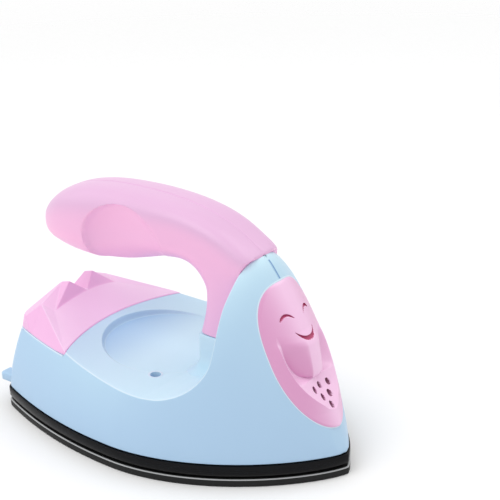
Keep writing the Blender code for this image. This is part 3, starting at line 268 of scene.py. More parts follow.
nodeLooks = {  # all others are bright steel
    "sole_plate": "sole", "insulating_ring": "ring", "base_skirt": "skirt", "housing_shell": "blue",
    "handle_left": "pink", "handle_right": "pink", "nose_cover": "nose", "rear_cover": "rear",
    "heater_plate": "alloy", "mica_sheet": "mica", "heater_clamp": "steel", "thermostat": "dark",
    "contact_block": "block", "contact_pin_left": "brass", "contact_pin_right": "brass",
    "lamp_board": "board", "indicator_lamp": "lamp", "lead_supply": "white", "lead_return": "black",
    "lead_heater": "white", "lead_lamp": "red",
}
for nodeName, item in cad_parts.items():
    item.data.materials.clear()
    item.data.materials.append(looks[nodeLooks.get(nodeName, "steel")])
print("looks ready")


def curveThrough(points):
    # Value at x of a curve through the points that has no overshoot
    xs, ys = np.array(points, float).T
    slopes = np.diff(ys) / np.diff(xs)
    before, after = slopes[:-1], slopes[1:]
    alike = before * after > 0
    total = np.where(alike, before + after, 1.0)
    inner = np.where(alike, 2 * before * after / total, 0.0)
    tangents = np.concatenate((slopes[:1], inner, slopes[-1:]))

    def value(x):
        x = np.clip(x, xs[0], xs[-1])
        i = np.clip(np.searchsorted(xs, x, side="right") - 1, 0, len(xs) - 2)
        span = xs[i + 1] - xs[i]
        t = (x - xs[i]) / span
        rise = (1 + 2 * t) * (1 - t) ** 2 * ys[i] + t * t * (3 - 2 * t) * ys[i + 1]
        return rise + span * (t * (1 - t) ** 2 * tangents[i] - t * t * (1 - t) * tangents[i + 1])

    return value


def smoothed(curve, low, high, spread, step=0.1):
    # The same curve with its corners of curvature rounded off
    margin = 3 * spread
    reach = int(margin / step)
    x = np.arange(low - margin, high + margin + step, step)
    y = curve(x)
    y = np.where(x < low, curve(low) + (x - low) * (curve(low + step) - curve(low)) / step, y)
    y = np.where(x > high, curve(high) + (x - high) * (curve(high) - curve(high - step)) / step, y)
    weights = np.exp(-0.5 * (np.arange(-reach, reach + 1) * step / spread) ** 2)
    inner = np.convolve(y, weights / weights.sum(), "same")
    good = (x >= low - step) & (x <= high + step)
    return lambda at: np.interp(at, x[good], inner[good])


def smoothStep(x):
    x = np.clip(x, 0, 1)
    return x * x * (3 - 2 * x)


def bend(a, b, c, q):
    # Point at q on a curve from a to c round corner b
    return a * (1 - q) ** 2 + b * 2 * q * (1 - q) + c * q * q


def lengthAlong(line):
    # Distance along a line from its first point to each of its points
    return np.concatenate(([0], np.cumsum(np.linalg.norm(np.diff(line, axis=0), axis=1))))


def resample(line, count, power=1.0):
    # Points along a line, closer together at its end for powers over 1
    line = np.asarray(line, float)
    length = lengthAlong(line)
    at = (1 - (1 - np.linspace(0, 1, count)) ** power) * length[-1]
    return np.stack([np.interp(at, length, line[:, k]) for k in range(line.shape[1])], 1)


def halved(holds, low, high, rounds=40):
    # Where a test that holds at low stops holding on the way to high
    for _ in range(rounds):
        middle = (low + high) / 2
        yes = holds(middle)
        low, high = np.where(yes, middle, low), np.where(yes, high, middle)
    return low


def cells(values, join):
    # One value for each face from its four corners
    return join.reduce((values[:-1, :-1], values[1:, :-1], values[:-1, 1:], values[1:, 1:]))


def rowLooks(values, columns):
    # One look for each row of faces
    return np.repeat(np.array(values)[:, None], columns, 1)


def fullTurn(count):
    return np.linspace(0, 2 * math.pi, count, endpoint=False)


def flatRow(plan, z):
    # The same height for every point of a plan
    return np.column_stack((plan, np.full(len(plan), z)))


def addToScene(name, data):
    item = bpy.data.objects.new(name, data)
    bpy.context.scene.collection.objects.link(item)
    return item


weldGap = 0.0004 * mm
thinEdge = 1e-7


class Skin:
    # Collects grids of points, then welds them into one mesh
    def __init__(self):
        self.points = []
        self.faces = []
        self.looks = []
        self.count = 0

    def grid(self, rows, look=0, closed=False, flip=False, keep=None):
        # rows is an array of rows x columns x 3; look and keep may differ for each face
        rows = np.asarray(rows, float)
        m, n = rows.shape[:2]
        first = self.count
        self.points.append(rows.reshape(-1, 3))
        self.count += m * n
        for i in range(m - 1):
            for j in range(n if closed else n - 1):
                if keep is not None and not keep[i, j]:
                    continue
                k, low = (j + 1) % n, first + i * n
                quad = [low + j, low + k, low + n + k, low + n + j]
                self.faces.append(quad[::-1] if flip else quad)
                self.looks.append(int(look if np.isscalar(look) else look[i, j]))

    def fan(self, ring, centre, look=0, flip=False):
        ring = np.asarray(ring, float)
        n = len(ring)
        first = self.count
        self.points.append(np.vstack((ring, [centre])))
        self.count += n + 1
        for j in range(n):
            three = [first + j, first + (j + 1) % n, first + n]
            self.faces.append(three[::-1] if flip else three)
            self.looks.append(look)

    def build(self, name, materials, sharp=None):
        mesh = bpy.data.meshes.new(name)
        mesh.from_pydata((np.vstack(self.points) * mm).tolist(), [], self.faces)
        for key in materials:
            mesh.materials.append(looks[key])
        mesh.polygons.foreach_set("material_index", self.looks)
        work = bmesh.new()
        work.from_mesh(mesh)
        bmesh.ops.remove_doubles(work, verts=work.verts, dist=weldGap)
        bmesh.ops.dissolve_degenerate(work, edges=work.edges, dist=thinEdge)
        work.to_mesh(mesh)
        work.free()
        mesh.shade_smooth()
        if sharp:
            mesh.set_sharp_from_angle(angle=math.radians(sharp))
        return addToScene(name, mesh)


# The iron's main surfaces: sole outline, wall, ridge, deck, heel and tower
body = {
    "halfLength": 60.0,
    "halfWidth": 38.3,
    "heelHalfWidth": 26.6,
    "widest": 0.482,
    "noseInner": 1.885,
    "noseOuter": 0.792,
    "setback": 0.5,
    "foot": 7.3,
    "heelLean": 0.094,
    "heelCorner": 3.0,
    "wallInner": 1.6,
    "wallOuter": 0.55,
    "deckLow": 25.2,
    "deckLowX": 8.0,
    "deckCurve": 400.0,
    "leastRise": 0.01,
    "seat": 27.3,
    "arcX": -33.9,
    "arcRadius": 74.0,
    "edgeRound": 0.45,
    "noseFrom": 17.0,
    "noseTo": 59.5,
    "ridgeSoft": 1.6,
    "towerSoft": 0.7,
}
ridgePoints = (
    (-60, 42), (-44, 46.5), (-28, 50), (-16, 51), (-6, 54.5), (3, 61), (10, 65.8), (17, 68.2), (24, 67.5),
    (30.8, 64.8), (36.1, 58.1), (41.4, 49.9), (44.8, 44.2), (48, 37.6), (51, 30.8), (53.8, 23.3),
    (56.1, 16.5), (57.9, 11.7), (59.5, 6.9),
)
ridge = smoothed(curveThrough(ridgePoints), -body["halfLength"], body["noseTo"], body["ridgeSoft"])
towerPoints = (
    (8, 25.2), (12.9, 25.6), (16.9, 26.7), (20, 28.1), (22.9, 30.2), (25, 32.6), (26.4, 35.2), (27.1, 38.3),
    (27.2, 41.4), (27.1, 45.6), (27.0, 51.8), (27.2, 54.8), (27.5, 57.4), (27.9, 61.3), (28.6, 63.4),
    (29.7, 64.7), (31.0, 64.85),
)


def plan(x):
    along = np.clip(x / (2 * body["halfLength"]) + 0.5, 0, 1)
    wide, heel, most = body["halfWidth"], body["heelHalfWidth"], body["widest"]
    rear = wide - (wide - heel) * (np.clip(most - along, 0, 1) / most) ** 2
    forward = np.clip((along - most) / (1 - most), 0, 1)
    front = wide * np.clip(1 - forward ** body["noseInner"], 0, 1) ** body["noseOuter"]
    return np.where(along < most, rear, front)


def wallWidth(x, z):
    scale = (body["halfLength"] - body["setback"]) / body["halfLength"]
    foot = plan(np.asarray(x) / scale) * (body["halfWidth"] - body["setback"]) / body["halfWidth"]
    rise = (z - body["foot"]) / np.maximum(ridge(x) - body["foot"], body["leastRise"])
    return foot * (1 - np.clip(rise, 0, 1) ** body["wallInner"]) ** body["wallOuter"]


def noseReach(z):
    low, high = (np.full(np.shape(z), body[key]) for key in ("noseFrom", "noseTo"))
    return halved(lambda x: ridge(x) > z, low, high)


def wallFront(y, z):
    # Foremost x of the wall at y and z
    low = np.full(np.shape(y), body["noseFrom"])
    return halved(lambda x: wallWidth(x, z) > np.abs(y), low, noseReach(z))


def heelFace(z):
    return body["setback"] - body["halfLength"] + body["heelLean"] * (z - body["foot"])


def deck(x):
    return body["deckLow"] + (np.minimum(x, body["deckLowX"]) - body["deckLowX"]) ** 2 / body["deckCurve"]


def arcX(y):
    return body["arcX"] + body["arcRadius"] - np.sqrt(body["arcRadius"] ** 2 - y * y)


def towerCurve(step=0.1):
    # Rear edge of the tower from the deck to the crown, smooth
    line = np.array(towerPoints, float)
    length = lengthAlong(line)
    at = np.arange(0, length[-1] + step, step)
    curves = (curveThrough(list(zip(length, line[:, k]))) for k in range(2))
    return np.stack([smoothed(curve, 0, length[-1], body["towerSoft"])(at) for curve in curves], 1)


recess = {"x": -9.5, "radius": 21.4, "floor": 25.7, "slope": 0.049, "lip": 1.1, "outside": 0.4, "inside": 0.7}
# Profile of deck and tower in the middle plane, from the rear cover to the crown. Its first deckRows rows
# count as deck and the others as tower; x rises steadily up to recessRows.
deckFrom, deckStep, deckRows, recessRows = -36, 0.25, 200, 250
deckX = np.arange(deckFrom, body["deckLowX"], deckStep)
profile = np.vstack((np.stack((deckX, deck(deckX)), 1), towerCurve()))
profileLength = lengthAlong(profile)
profileLength -= np.interp(recess["x"], profile[:deckRows, 0], profileLength[:deckRows])


def onProfile(s):
    # Point of the profile at a distance from the recess's middle
    return np.interp(s, profileLength, profile[:, 0]), np.interp(s, profileLength, profile[:, 1])


def alongProfile(x, rows):
    return np.interp(x, profile[:rows, 0], profileLength[:rows])


def recessFloor(x):
    return recess["floor"] + recess["slope"] * (recess["x"] - x)


nose = {
    "halfWidth": 13.4, "halfHeight": 21.3, "z": 36.8, "topPower": 2.55, "lowPower": 2.0,
    "proud": 0.4, "lowProud": 0.3, "proudFrom": 22, "proudRise": 20, "depth": 2.4, "rimPower": 2.5,
    "edgeShare": 0.955, "openShare": 0.965, "openFrom": 20, "spokes": 520, "circles": 230,
    "border": ((1.016, -0.04), (1.013, 0.05), (1.0, 0.05), (0.985, -0.2), (0.95, -0.6)), "borderPoints": 300,
}


def ovalReach(sine, cosine):
    # Length of the nose cover's outline in a direction, as a share of its half sizes
    power = np.where(cosine > 0, nose["topPower"], nose["lowPower"])
    return (np.abs(sine) ** power + np.abs(cosine) ** power) ** (-1 / power)


def ovalShare(y, z):
    across, up = y / nose["halfWidth"], (z - nose["z"]) / nose["halfHeight"]
    power = np.where(up > 0, nose["topPower"], nose["lowPower"])
    return (np.abs(across) ** power + np.abs(up) ** power) ** (1 / power)


housingShape = {  # columns and rows of its grids, and the small sizes of its edges
    "edgeStart": -24, "edgeSamples": 4000, "edgeColumns": 330, "edgeCrowding": 1.7, "edgeRows": 5,
    "edgeShare": 0.25, "edgeLeast": 0.02, "arcReach": 36, "crownTop": 64.8, "crownLap": 0.1,
    "seatColumns": 60, "seatEnd": 1.0, "seatDepth": 9.0,
    "lidCentre": (-48.0, 0.0), "lidRise": 0.2, "lidSoft": 0.06,
    "wallRows": 90, "noseSamples": 500, "wallStart": 0.25, "cornerColumns": 9, "heelColumns": 40,
    "footRound": ((2.2, 0.0), (0.25, 0.0), (0.07, 0.07)), "footNoseShare": 1.5,
    "arcColumns": 50, "deckRings": 46, "deckCrowding": 1.25, "lipRings": 13, "floorRings": 24,
    "riserDrop": 0.3,
}


def sideEdge():
    # Edge of deck and tower from the rear cover's arc to the crown: its rows on wall, corner and deck
    h = housingShape
    s = np.linspace(h["edgeStart"], profileLength[-1], h["edgeSamples"])
    x, z = onProfile(s)
    y = wallWidth(x, z)
    shown = x >= arcX(np.minimum(y, h["arcReach"]))
    line = np.stack((x, y, z, s), 1)[shown]
    line[-1, 1] = 0
    x, y, z, s = resample(line, h["edgeColumns"], h["edgeCrowding"]).T
    # Outward direction of the edge in side view
    alongX, alongZ = np.gradient(x), np.gradient(z)
    size = np.hypot(alongX, alongZ)
    drop = np.minimum(body["edgeRound"], h["edgeShare"] * y + h["edgeLeast"])
    wallX, wallZ = x + alongZ / size * drop, z - alongX / size * drop
    wallX = np.minimum(wallX, noseReach(np.minimum(wallZ, h["crownTop"])))
    wallY = wallWidth(wallX, wallZ)
    wallX[-1] = x[-1] + h["crownLap"]
    wallZ[-1], wallY[-1] = ridge(wallX[-1]), 0
    deckY = np.maximum(y - drop, 0)
    return np.stack((wallX, wallY, wallZ), 1), np.stack((x, y, z), 1), np.stack((x, deckY, z), 1), s


def wallGrid(wallRow, seatX):
    # Wall on the +Y side, blended between its foot, heel corner, nose and upper edge
    h = housingShape
    topX = np.concatenate((seatX, wallRow[:, 0]))
    topZ = np.concatenate((np.full(len(seatX), body["seat"] - body["edgeRound"]), wallRow[:, 2]))
    length = np.concatenate(([0], np.cumsum(np.hypot(np.diff(topX), np.diff(topZ)))))
    u = length / length[-1]
    t = np.linspace(0, 1, h["wallRows"])[:, None]
    startZ = body["foot"] + h["wallStart"]
    heel, corner = heelFace(startZ), body["heelCorner"]
    bottomX = heel + corner + u * (noseReach(np.array(startZ)) - heel - corner)
    leftZ = startZ + t * (topZ[0] - startZ)
    leftX = heelFace(leftZ) + corner
    noseZ = np.linspace(startZ, topZ[-1], h["noseSamples"])
    noseX = noseReach(noseZ)
    noseX[-1] = topX[-1]
    right = resample(np.stack((noseX, noseZ), 1), h["wallRows"])
    shared = (1 - t) * (1 - u) * bottomX[0] + (1 - t) * u * bottomX[-1]
    shared = shared + t * (1 - u) * topX[0] + t * u * topX[-1]
    x = (1 - t) * bottomX + t * topX + (1 - u) * leftX + u * right[:, :1] - shared
    shared = (1 - t) * startZ + t * (1 - u) * topZ[0] + t * u * topZ[-1]
    z = (1 - t) * startZ + t * topZ + (1 - u) * leftZ + u * right[:, 1:] - shared
    x = np.minimum(x, noseReach(z))
    y = wallWidth(x, z)
    y[:, -1] = 0
    y[-1, len(seatX):] = wallRow[:, 1]
    return np.stack((x, y, z), 2)


def heelGrid(wall):
    # Heel wall and heel corner, from the middle round to the wall's first column
    h = housingShape
    firstX, firstY, z = wall[:, 0].T
    cornerX = heelFace(z)
    cornerY = wallWidth(cornerX, z)
    lastY = cornerY - body["heelCorner"]
    columns = []
    for q in np.linspace(0, 1, h["cornerColumns"]):
        columns.append(np.stack((bend(firstX, cornerX, cornerX, q), bend(firstY, cornerY, lastY, q), z), 1))
    for q in np.linspace(0, 1, h["heelColumns"])[1:]:
        columns.append(np.stack((cornerX, lastY * (1 - q), z), 1))
    return np.stack(columns[::-1], 1)


def drawnIn(row, inset, z):
    # The wall's lowest row, moved inwards
    result = row.copy()
    result[:, 1] = np.maximum(row[:, 1] - inset, 0)
    low, high = row[:, 0].min() + inset, row[:, 0].max() - inset * housingShape["footNoseShare"]
    result[:, 0] = np.clip(row[:, 0], low, high)
    result[:, 2] = z
    return result


def heelLid(top):
    # Lid of the heel, under the rear cover
    h, seat = housingShape, body["seat"]
    toward = np.array(h["lidCentre"]) - top[:, :2]
    toward /= np.linalg.norm(toward, axis=1)[:, None]
    low = top[0, 2]
    levels = (
        (0.0, low), (h["lidSoft"], low + h["lidRise"]), (h["lidRise"], seat - h["lidSoft"]),
        (body["edgeRound"], seat), (h["seatDepth"], seat),
    )
    return np.stack([flatRow(top[:, :2] + toward * inset, z) for inset, z in levels])


def seatGrid(seatX):
    # Rounded edge and outer strip of the seat under the rear cover
    h, edge = housingShape, body["edgeRound"]
    low, high = np.full(len(seatX), body["seat"] - edge), np.full(len(seatX), body["seat"])
    seatWall = np.stack((seatX, wallWidth(seatX, low), low), 1)
    seatEdge = np.stack((seatX, wallWidth(seatX, high), high), 1)
    rows = bend(seatWall, seatEdge, seatEdge - (0, edge, 0), edgeShares())
    return np.concatenate((rows, (seatEdge - (0, h["seatDepth"], 0))[None]))


def edgeShares():
    return np.linspace(0, 1, housingShape["edgeRows"])[:, None, None]


def deckGrids(cornerRow, deckRow, s):
    # Deck as rays from the recess circle out to the edge, and the recess inside it
    h, r = housingShape, recess
    rearY = np.linspace(0, deckRow[0, 1], h["arcColumns"])[:-1]
    outS = np.concatenate((alongProfile(arcX(rearY), deckRows), s))
    outY = np.concatenate((rearY, deckRow[:, 1]))
    angle = np.arctan2(outY, outS)
    angle[0] = math.pi
    start = r["radius"] + r["outside"]
    ringS = alongProfile(r["x"] + start * np.cos(angle), recessRows)
    ringY = start * np.sin(angle)
    rows = []
    for q in np.linspace(0, 1, h["deckRings"]) ** h["deckCrowding"]:
        x, z = onProfile(ringS + (outS - ringS) * q)
        rows.append(np.stack((x, ringY + (outY - ringY) * q, z), 1))
    rows[-1][-len(cornerRow):, [0, 2]] = cornerRow[:, [0, 2]]
    outer = np.stack(rows[::-1])
    rows = []
    for q in np.linspace(0, 1, h["lipRings"])[1:]:
        radius = start - r["lip"] * q
        x = r["x"] + radius * np.cos(angle)
        high, low = deck(x), recessFloor(x)
        rows.append(np.stack((x, radius * np.sin(angle), high - (high - low) * smoothStep(q)), 1))
    for radius in np.linspace(r["radius"] - r["inside"], 0.0, h["floorRings"])[1:-1]:
        x = r["x"] + radius * np.cos(angle)
        rows.append(np.stack((x, radius * np.sin(angle), recessFloor(x)), 1))
    return outer, np.stack(rows)


def makeHousing():
    h, seat = housingShape, body["seat"]
    wallRow, cornerRow, deckRow, s = sideEdge()
    seatX = np.linspace(heelFace(seat) + body["heelCorner"], cornerRow[0, 0] - h["seatEnd"], h["seatColumns"])
    wall = wallGrid(wallRow, seatX)
    heel = heelGrid(wall)
    side = np.concatenate((heel[:, :-1], wall), 1)
    under = [drawnIn(side[0], inset, body["foot"] + rise) for inset, rise in h["footRound"]]
    side = np.concatenate((np.stack(under), side))
    inOval = ovalShare(side[:, :, 1], side[:, :, 2]) < nose["openShare"]
    inOval &= side[:, :, 0] > nose["openFrom"]
    outer, inner = deckGrids(cornerRow, deckRow, s)
    whole = np.concatenate((outer, inner))
    inHole = np.hypot(whole[:, :, 0] - holes["x"], whole[:, :, 1] - holes["y"]) < holes["cut"]
    arc = outer[0][:h["arcColumns"]]
    riser = np.stack((arc, arc * (1, 1, 0) + (0, 0, seat - h["riserDrop"])))
    skin = Skin()
    for mirror in (1, -1):
        skin.grid(side * (1, mirror, 1), flip=mirror < 0, keep=~cells(inOval, np.logical_and))
    # Seat and edges have pale rounds, look 2, a painted highlight
    pale = (
        (heelLid(heel[-1]), (0, 2, 2, 0)), (bend(wallRow, cornerRow, deckRow, edgeShares()), (0, 2, 2, 0)),
        (seatGrid(seatX), (0, 2, 2, 0, 0)),
    )
    for mirror in (1, -1):
        by = (1, mirror, 1)
        for grid, values in pale:
            skin.grid(grid * by, look=rowLooks(values, grid.shape[1] - 1), flip=mirror < 0)
        skin.grid(whole * by, flip=mirror < 0, keep=~cells(inHole, np.logical_and))
        makeHole(skin, mirror)
        skin.grid(riser * by, flip=mirror > 0)
        skin.fan(inner[-1] * by, (recess["x"], 0, recessFloor(recess["x"])), flip=mirror < 0)
    makePedestal(skin)
    makeFeet(skin)
    makePinRings(skin)
    makeBorder(skin)
    makeCrownGroove(skin)
    housing = skin.build("housing", ("blue", "groove", "rim", "post"))
    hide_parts("housing_shell")
    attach(housing, "iron")


holes = {
    "x": 1.5, "y": 19.4, "radius": 1.7, "lip": 2.4, "cut": 2.25, "depth": 7.0, "proud": 0.03, "round": 0.05,
    "flat": 0.12, "soft": 0.03, "points": 40,
}


def makeHole(skin, mirror):
    # Screw hole in the deck: a pale lip as a painted highlight, then a straight bore
    h = holes
    turn = fullTurn(h["points"])
    lip, bore, proud, edge = h["lip"], h["radius"], h["proud"], h["round"]
    levels = (
        (lip, -edge), (lip - edge, proud), (bore + h["flat"], proud), (bore + h["soft"], proud - edge),
        (bore, -edge), (bore, -h["depth"]),
    )
    rows = []
    for radius, rise in levels:
        x, y = h["x"] + radius * np.cos(turn), h["y"] * mirror + radius * np.sin(turn)
        rows.append(np.stack((x, y, deck(x) + rise), 1))
    skin.grid(np.stack(rows), look=rowLooks((2, 2, 2, 0, 0), h["points"]), closed=True)


pins = {
    "y": 5.0, "z": 11.8, "inner": 1.52, "outer": 1.95, "proud": 0.03, "sunk": 0.03, "round": 0.08,
    "depth": 0.5, "points": 40,
}


def makePinRings(skin):
    # Edge of the hole round each contact pin in the heel, in a darker blue as painted shade
    p = pins
    turn = fullTurn(p["points"])
    levels = (
        (p["outer"], -p["sunk"]), (p["outer"] - p["round"], p["proud"]), (p["inner"], p["proud"]),
        (p["inner"], -p["depth"]),
    )
    for side in (-1, 1):
        rows = []
        for radius, rise in levels:
            z = p["z"] + radius * np.sin(turn)
            rows.append(np.stack((heelFace(z) - rise, side * p["y"] + radius * np.cos(turn), z), 1))
        skin.grid(np.stack(rows), look=1, closed=True)


def makeBorder(skin):
    # Edge of the opening round the nose cover, pale as a painted highlight
    turn = fullTurn(nose["borderPoints"])
    reach = ovalReach(np.sin(turn), np.cos(turn))
    rows = []
    for share, rise in nose["border"]:
        y = nose["halfWidth"] * share * reach * np.sin(turn)
        z = nose["z"] + nose["halfHeight"] * share * reach * np.cos(turn)
        rows.append(np.stack((wallFront(y, z) + rise, y, z), 1))
    skin.grid(np.stack(rows), look=2, closed=True, flip=True)


crownGroove = {
    "top": 63.7, "low": 58.6, "rows": 24, "lean": 0.5,
    "section": ((-0.5, -0.05), (-0.42, 0.06), (-0.3, 0.0), (0.3, 0.0), (0.42, 0.06), (0.5, -0.05)),
}


def makeCrownGroove(skin):
    # Shallow channel on the ridge between the handle and the nose cover; its darker middle strip is painted
    # shade
    g = crownGroove
    z = np.linspace(g["top"], g["low"], g["rows"])
    x = noseReach(z)
    rows = [np.stack((x + rise, np.full(len(z), y), z + g["lean"] * rise), 1) for y, rise in g["section"]]
    skin.grid(np.stack(rows), look=rowLooks((0, 0, 1, 0, 0), g["rows"] - 1), flip=True)


pedestal = {
    "rear": 11.2, "front": 28.0, "halfWidth": 10.45, "top": 38.45, "base": 24.9, "round": 1.8, "edge": 0.5,
    "flare": 4.5, "flareRise": 8.0, "rows": 30, "edgeRows": 5, "middle": 20,
}


def roundedPlan(x0, x1, half, radius, count=12):
    # Rectangle with round corners, from x0 to x1
    points = []
    for cx, cy, start in ((x1, half, 0), (x0, half, 90), (x0, -half, 180), (x1, -half, 270)):
        for k in range(count + 1):
            a = math.radians(start + 90 * k / count)
            ox = cx - math.copysign(radius, cx - (x0 + x1) / 2)
            oy = cy - math.copysign(radius, cy)
            points.append((ox + radius * math.cos(a), oy + radius * math.sin(a)))
    return np.array(points)


def makePedestal(skin):
    # Post under the handle's root, flared at its foot; its paler blue is painted light
    p = pedestal
    edge, shoulder = p["edge"], p["top"] - p["edge"]
    rows = []
    for q in np.linspace(0, 1, p["rows"]):
        z = p["base"] + (shoulder - p["base"]) * q
        grow = p["flare"] * np.clip((p["base"] + p["flareRise"] - z) / p["flareRise"], 0, 1) ** 3
        plan = roundedPlan(p["rear"] - grow, p["front"], p["halfWidth"] + grow, p["round"] + grow)
        rows.append(flatRow(plan, z))
    for turn in np.linspace(0, math.pi / 2, p["edgeRows"])[1:]:
        inset = edge * (1 - math.cos(turn))
        plan = roundedPlan(p["rear"] + inset, p["front"], p["halfWidth"] - inset, p["round"] - inset)
        rows.append(flatRow(plan, shoulder + edge * math.sin(turn)))
    skin.grid(np.stack(rows), look=3, closed=True)
    skin.fan(rows[-1], (p["middle"], 0, p["top"]), look=3)


feet = {
    "y": 23.4, "width": 4.5, "reach": 4.0, "low": 7.5, "high": 10.7, "round": 0.8, "root": 1.0, "rows": 8,
    "points": 5, "tipRound": 0.99, "tipShare": 0.88, "tipBack": 0.35,
}


def makeFeet(skin):
    # Two short feet at the heel's corners
    f = feet
    for side in (-1, 1):
        rows = []
        for q in np.linspace(0, 1, f["rows"]):
            x = heelFace(f["low"]) + f["root"] - (f["reach"] + f["root"]) * q
            soft = f["round"] * (1 if q < 1 else f["tipRound"])
            ring = roundedPlan(f["low"], f["high"], f["width"] / 2, soft, f["points"])
            rows.append(np.column_stack((np.full(len(ring), x), ring[:, 1] + side * f["y"], ring[:, 0])))
        middle = rows[-1].mean(0)
        tip = middle + (rows[-1] - middle) * f["tipShare"]
        tip[:, 0] = rows[-1][:, 0]
        rows[-1][:, 0] += f["tipBack"]
        rows.append(tip)
        skin.grid(np.stack(rows), closed=True)
        skin.fan(tip, tip.mean(0))


makeHousing()
print("housing ready")

# Lines of the nose cover at each z: half widths of the crest and its foot, heights of floor, keel and brim
noseLines = {
    "crest": (
        (20.9, 0.0), (21.2, 1.6), (23.0, 3.6), (25.8, 6.2), (29.0, 8.3), (32.6, 9.7), (37.4, 10.5),
        (42.3, 10.3), (44.5, 9.8),
    ),
    "foot": ((29.9, 0.0), (30.5, 3.8), (31.4, 5.7), (34.2, 7.5), (38.0, 8.7), (42.0, 9.3), (44.5, 9.5)),
    "floor": (
        (20.9, 0.0), (24.5, -1.8), (28.0, -3.4), (31.0, -3.7), (34.0, -3.3), (38.0, -2.0), (40.0, -1.1),
        (42.3, -0.25), (44.5, 0.0),
    ),
    "keel": (
        (29.9, -3.0), (31.0, -1.9), (33.0, -1.0), (36.0, -0.2), (39.0, 0.5), (40.8, 0.9), (41.6, 0.8),
        (43.0, 0.3), (44.5, 0.0),
    ),
    "brim": ((15.0, 0.3), (20.0, 0.45), (26.0, 0.65), (38.0, 0.65), (41.0, 0.3), (43.0, 0.0), (44.5, 0.0)),
}
noseCurves = {key: curveThrough(value) for key, value in noseLines.items()}
face = {
    "keelWidth": 2.3, "keelShare": 0.6, "keelSoft": 0.1, "leastSlope": 0.3, "leastFoot": 0.1,
    "hollowPower": 1.4, "slope": 0.22, "markShare": 0.6,
    "mouthDepth": 0.9, "mouthTop": ((0, 42.9), (1.2, 43.0), (2.4, 43.4), (3.4, 44.0), (4.5, 44.9)),
    "mouthLow": ((0, 41.6), (1.2, 41.75), (2.4, 42.35), (3.5, 43.4), (4.5, 44.9)),
    "eyeY": 4.7, "eyeZ": 49.5, "eyeHalf": 2.5, "eyeDrop": 1.45, "eyeThick": 0.42, "eyeDepth": 0.7,
    "eyeLean": 0.3, "eyeSlope": 1.2, "ventHalf": (0.78, 1.05), "ventDepth": 1.5,
}
vents = ((0.0, 27.1), (3.5, 27.1), (-3.5, 27.1), (1.75, 24.5), (-1.75, 24.5), (0.0, 21.9))


def noseRelief(y, z):
    # Height of the cover's relief over its surface
    f = face
    a = np.abs(y)
    crest, foot, floor, keel, brim = (curve(z) for curve in noseCurves.values())
    up = np.clip((z - nose["z"]) / nose["halfHeight"], -1, 1)
    outline = nose["halfWidth"] * np.sqrt(1 - up ** 2)
    band = brim * np.clip((outline - a) / np.maximum(outline - crest, f["leastSlope"]), 0, 1)
    inward = np.clip((crest - a) / np.maximum(crest - foot, f["leastSlope"]), 0, 1)
    low = brim + (floor - brim) * (1 - (1 - inward) ** f["hollowPower"])
    flat = np.minimum(f["keelWidth"], f["keelShare"] * foot)
    share = np.clip((a - flat) / np.maximum(foot - flat, f["leastFoot"]), 0, 1)
    soft = f["keelSoft"]
    share = (np.sqrt(share ** 2 + soft ** 2) - soft) / (math.sqrt(1 + soft ** 2) - soft)
    return np.where(a < foot, keel + (floor - keel) * share, np.where(a < crest, low, band))


def eyeReach(y, z):
    # Millimetres inside the outline of an eye
    u = (np.abs(y) - face["eyeY"]) / face["eyeHalf"]
    half = face["eyeThick"] * np.sqrt(np.clip(1 - u * u, 0, 1)) * (1 + face["eyeLean"] * u)
    away = np.abs(z - (face["eyeZ"] - face["eyeDrop"] * u * u))
    return half - away / np.sqrt(1 + (face["eyeSlope"] * u) ** 2)


def mouthReach(y, z):
    a = np.abs(y)
    low, top = curveThrough(face["mouthLow"])(a), curveThrough(face["mouthTop"])(a)
    return np.where(a < face["mouthTop"][-1][0], np.minimum(z - low, top - z), -1.0)


def ventReach(y, z):
    wide, tall = face["ventHalf"]
    best = np.full(np.shape(y), -1.0)
    for ventY, ventZ in vents:
        best = np.maximum(best, (1 - np.hypot((y - ventY) / wide, (z - ventZ) / tall)) * wide)
    return best


def makeNose():
    n = nose
    angle = fullTurn(n["spokes"])
    reach = ovalReach(np.sin(angle), np.cos(angle))
    rows = []
    for r in np.linspace(0, 1, n["circles"])[1:]:
        y = n["halfWidth"] * r * reach * np.sin(angle)
        z = n["z"] + n["halfHeight"] * r * reach * np.cos(angle)
        rise = smoothStep((z - n["proudFrom"]) / n["proudRise"])
        proud = n["lowProud"] + (n["proud"] - n["lowProud"]) * rise
        rim = proud * (1 - np.clip((r - n["edgeShare"]) / (1 - n["edgeShare"]), 0, 1) ** n["rimPower"])
        rows.append(np.stack((wallFront(y, z) + noseRelief(y, z) + rim, y, z), 1))
    rows = np.stack(rows)
    y, z = rows[:, :, 1], rows[:, :, 2]
    # Sunk lines and vents: depth, and look of their floor, whose dark colour is painted shade
    pits = (
        (eyeReach(y, z), face["eyeDepth"], 1), (mouthReach(y, z), face["mouthDepth"], 1),
        (ventReach(y, z), face["ventDepth"], 2),
    )
    marks = np.zeros(y.shape)
    for inside, depth, look in pits:
        share = smoothStep(inside / face["slope"])
        rows[:, :, 0] -= depth * share
        marks = np.where(share > face["markShare"], look, marks)
    marks = np.concatenate((marks, marks[:, :1]), 1)
    skin = Skin()
    skin.grid(rows, look=cells(marks, np.maximum), closed=True, flip=True)
    skin.grid(np.concatenate((rows[-1:], rows[-1:] - (n["depth"], 0, 0))), closed=True, flip=True)
    skin.fan(rows[0], rows[0].mean(0))
    cover = skin.build("noseCover", ("nose", "slit", "vent"))
    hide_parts("nose_cover")
    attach(cover, "iron")


makeNose()
print("nose cover ready")

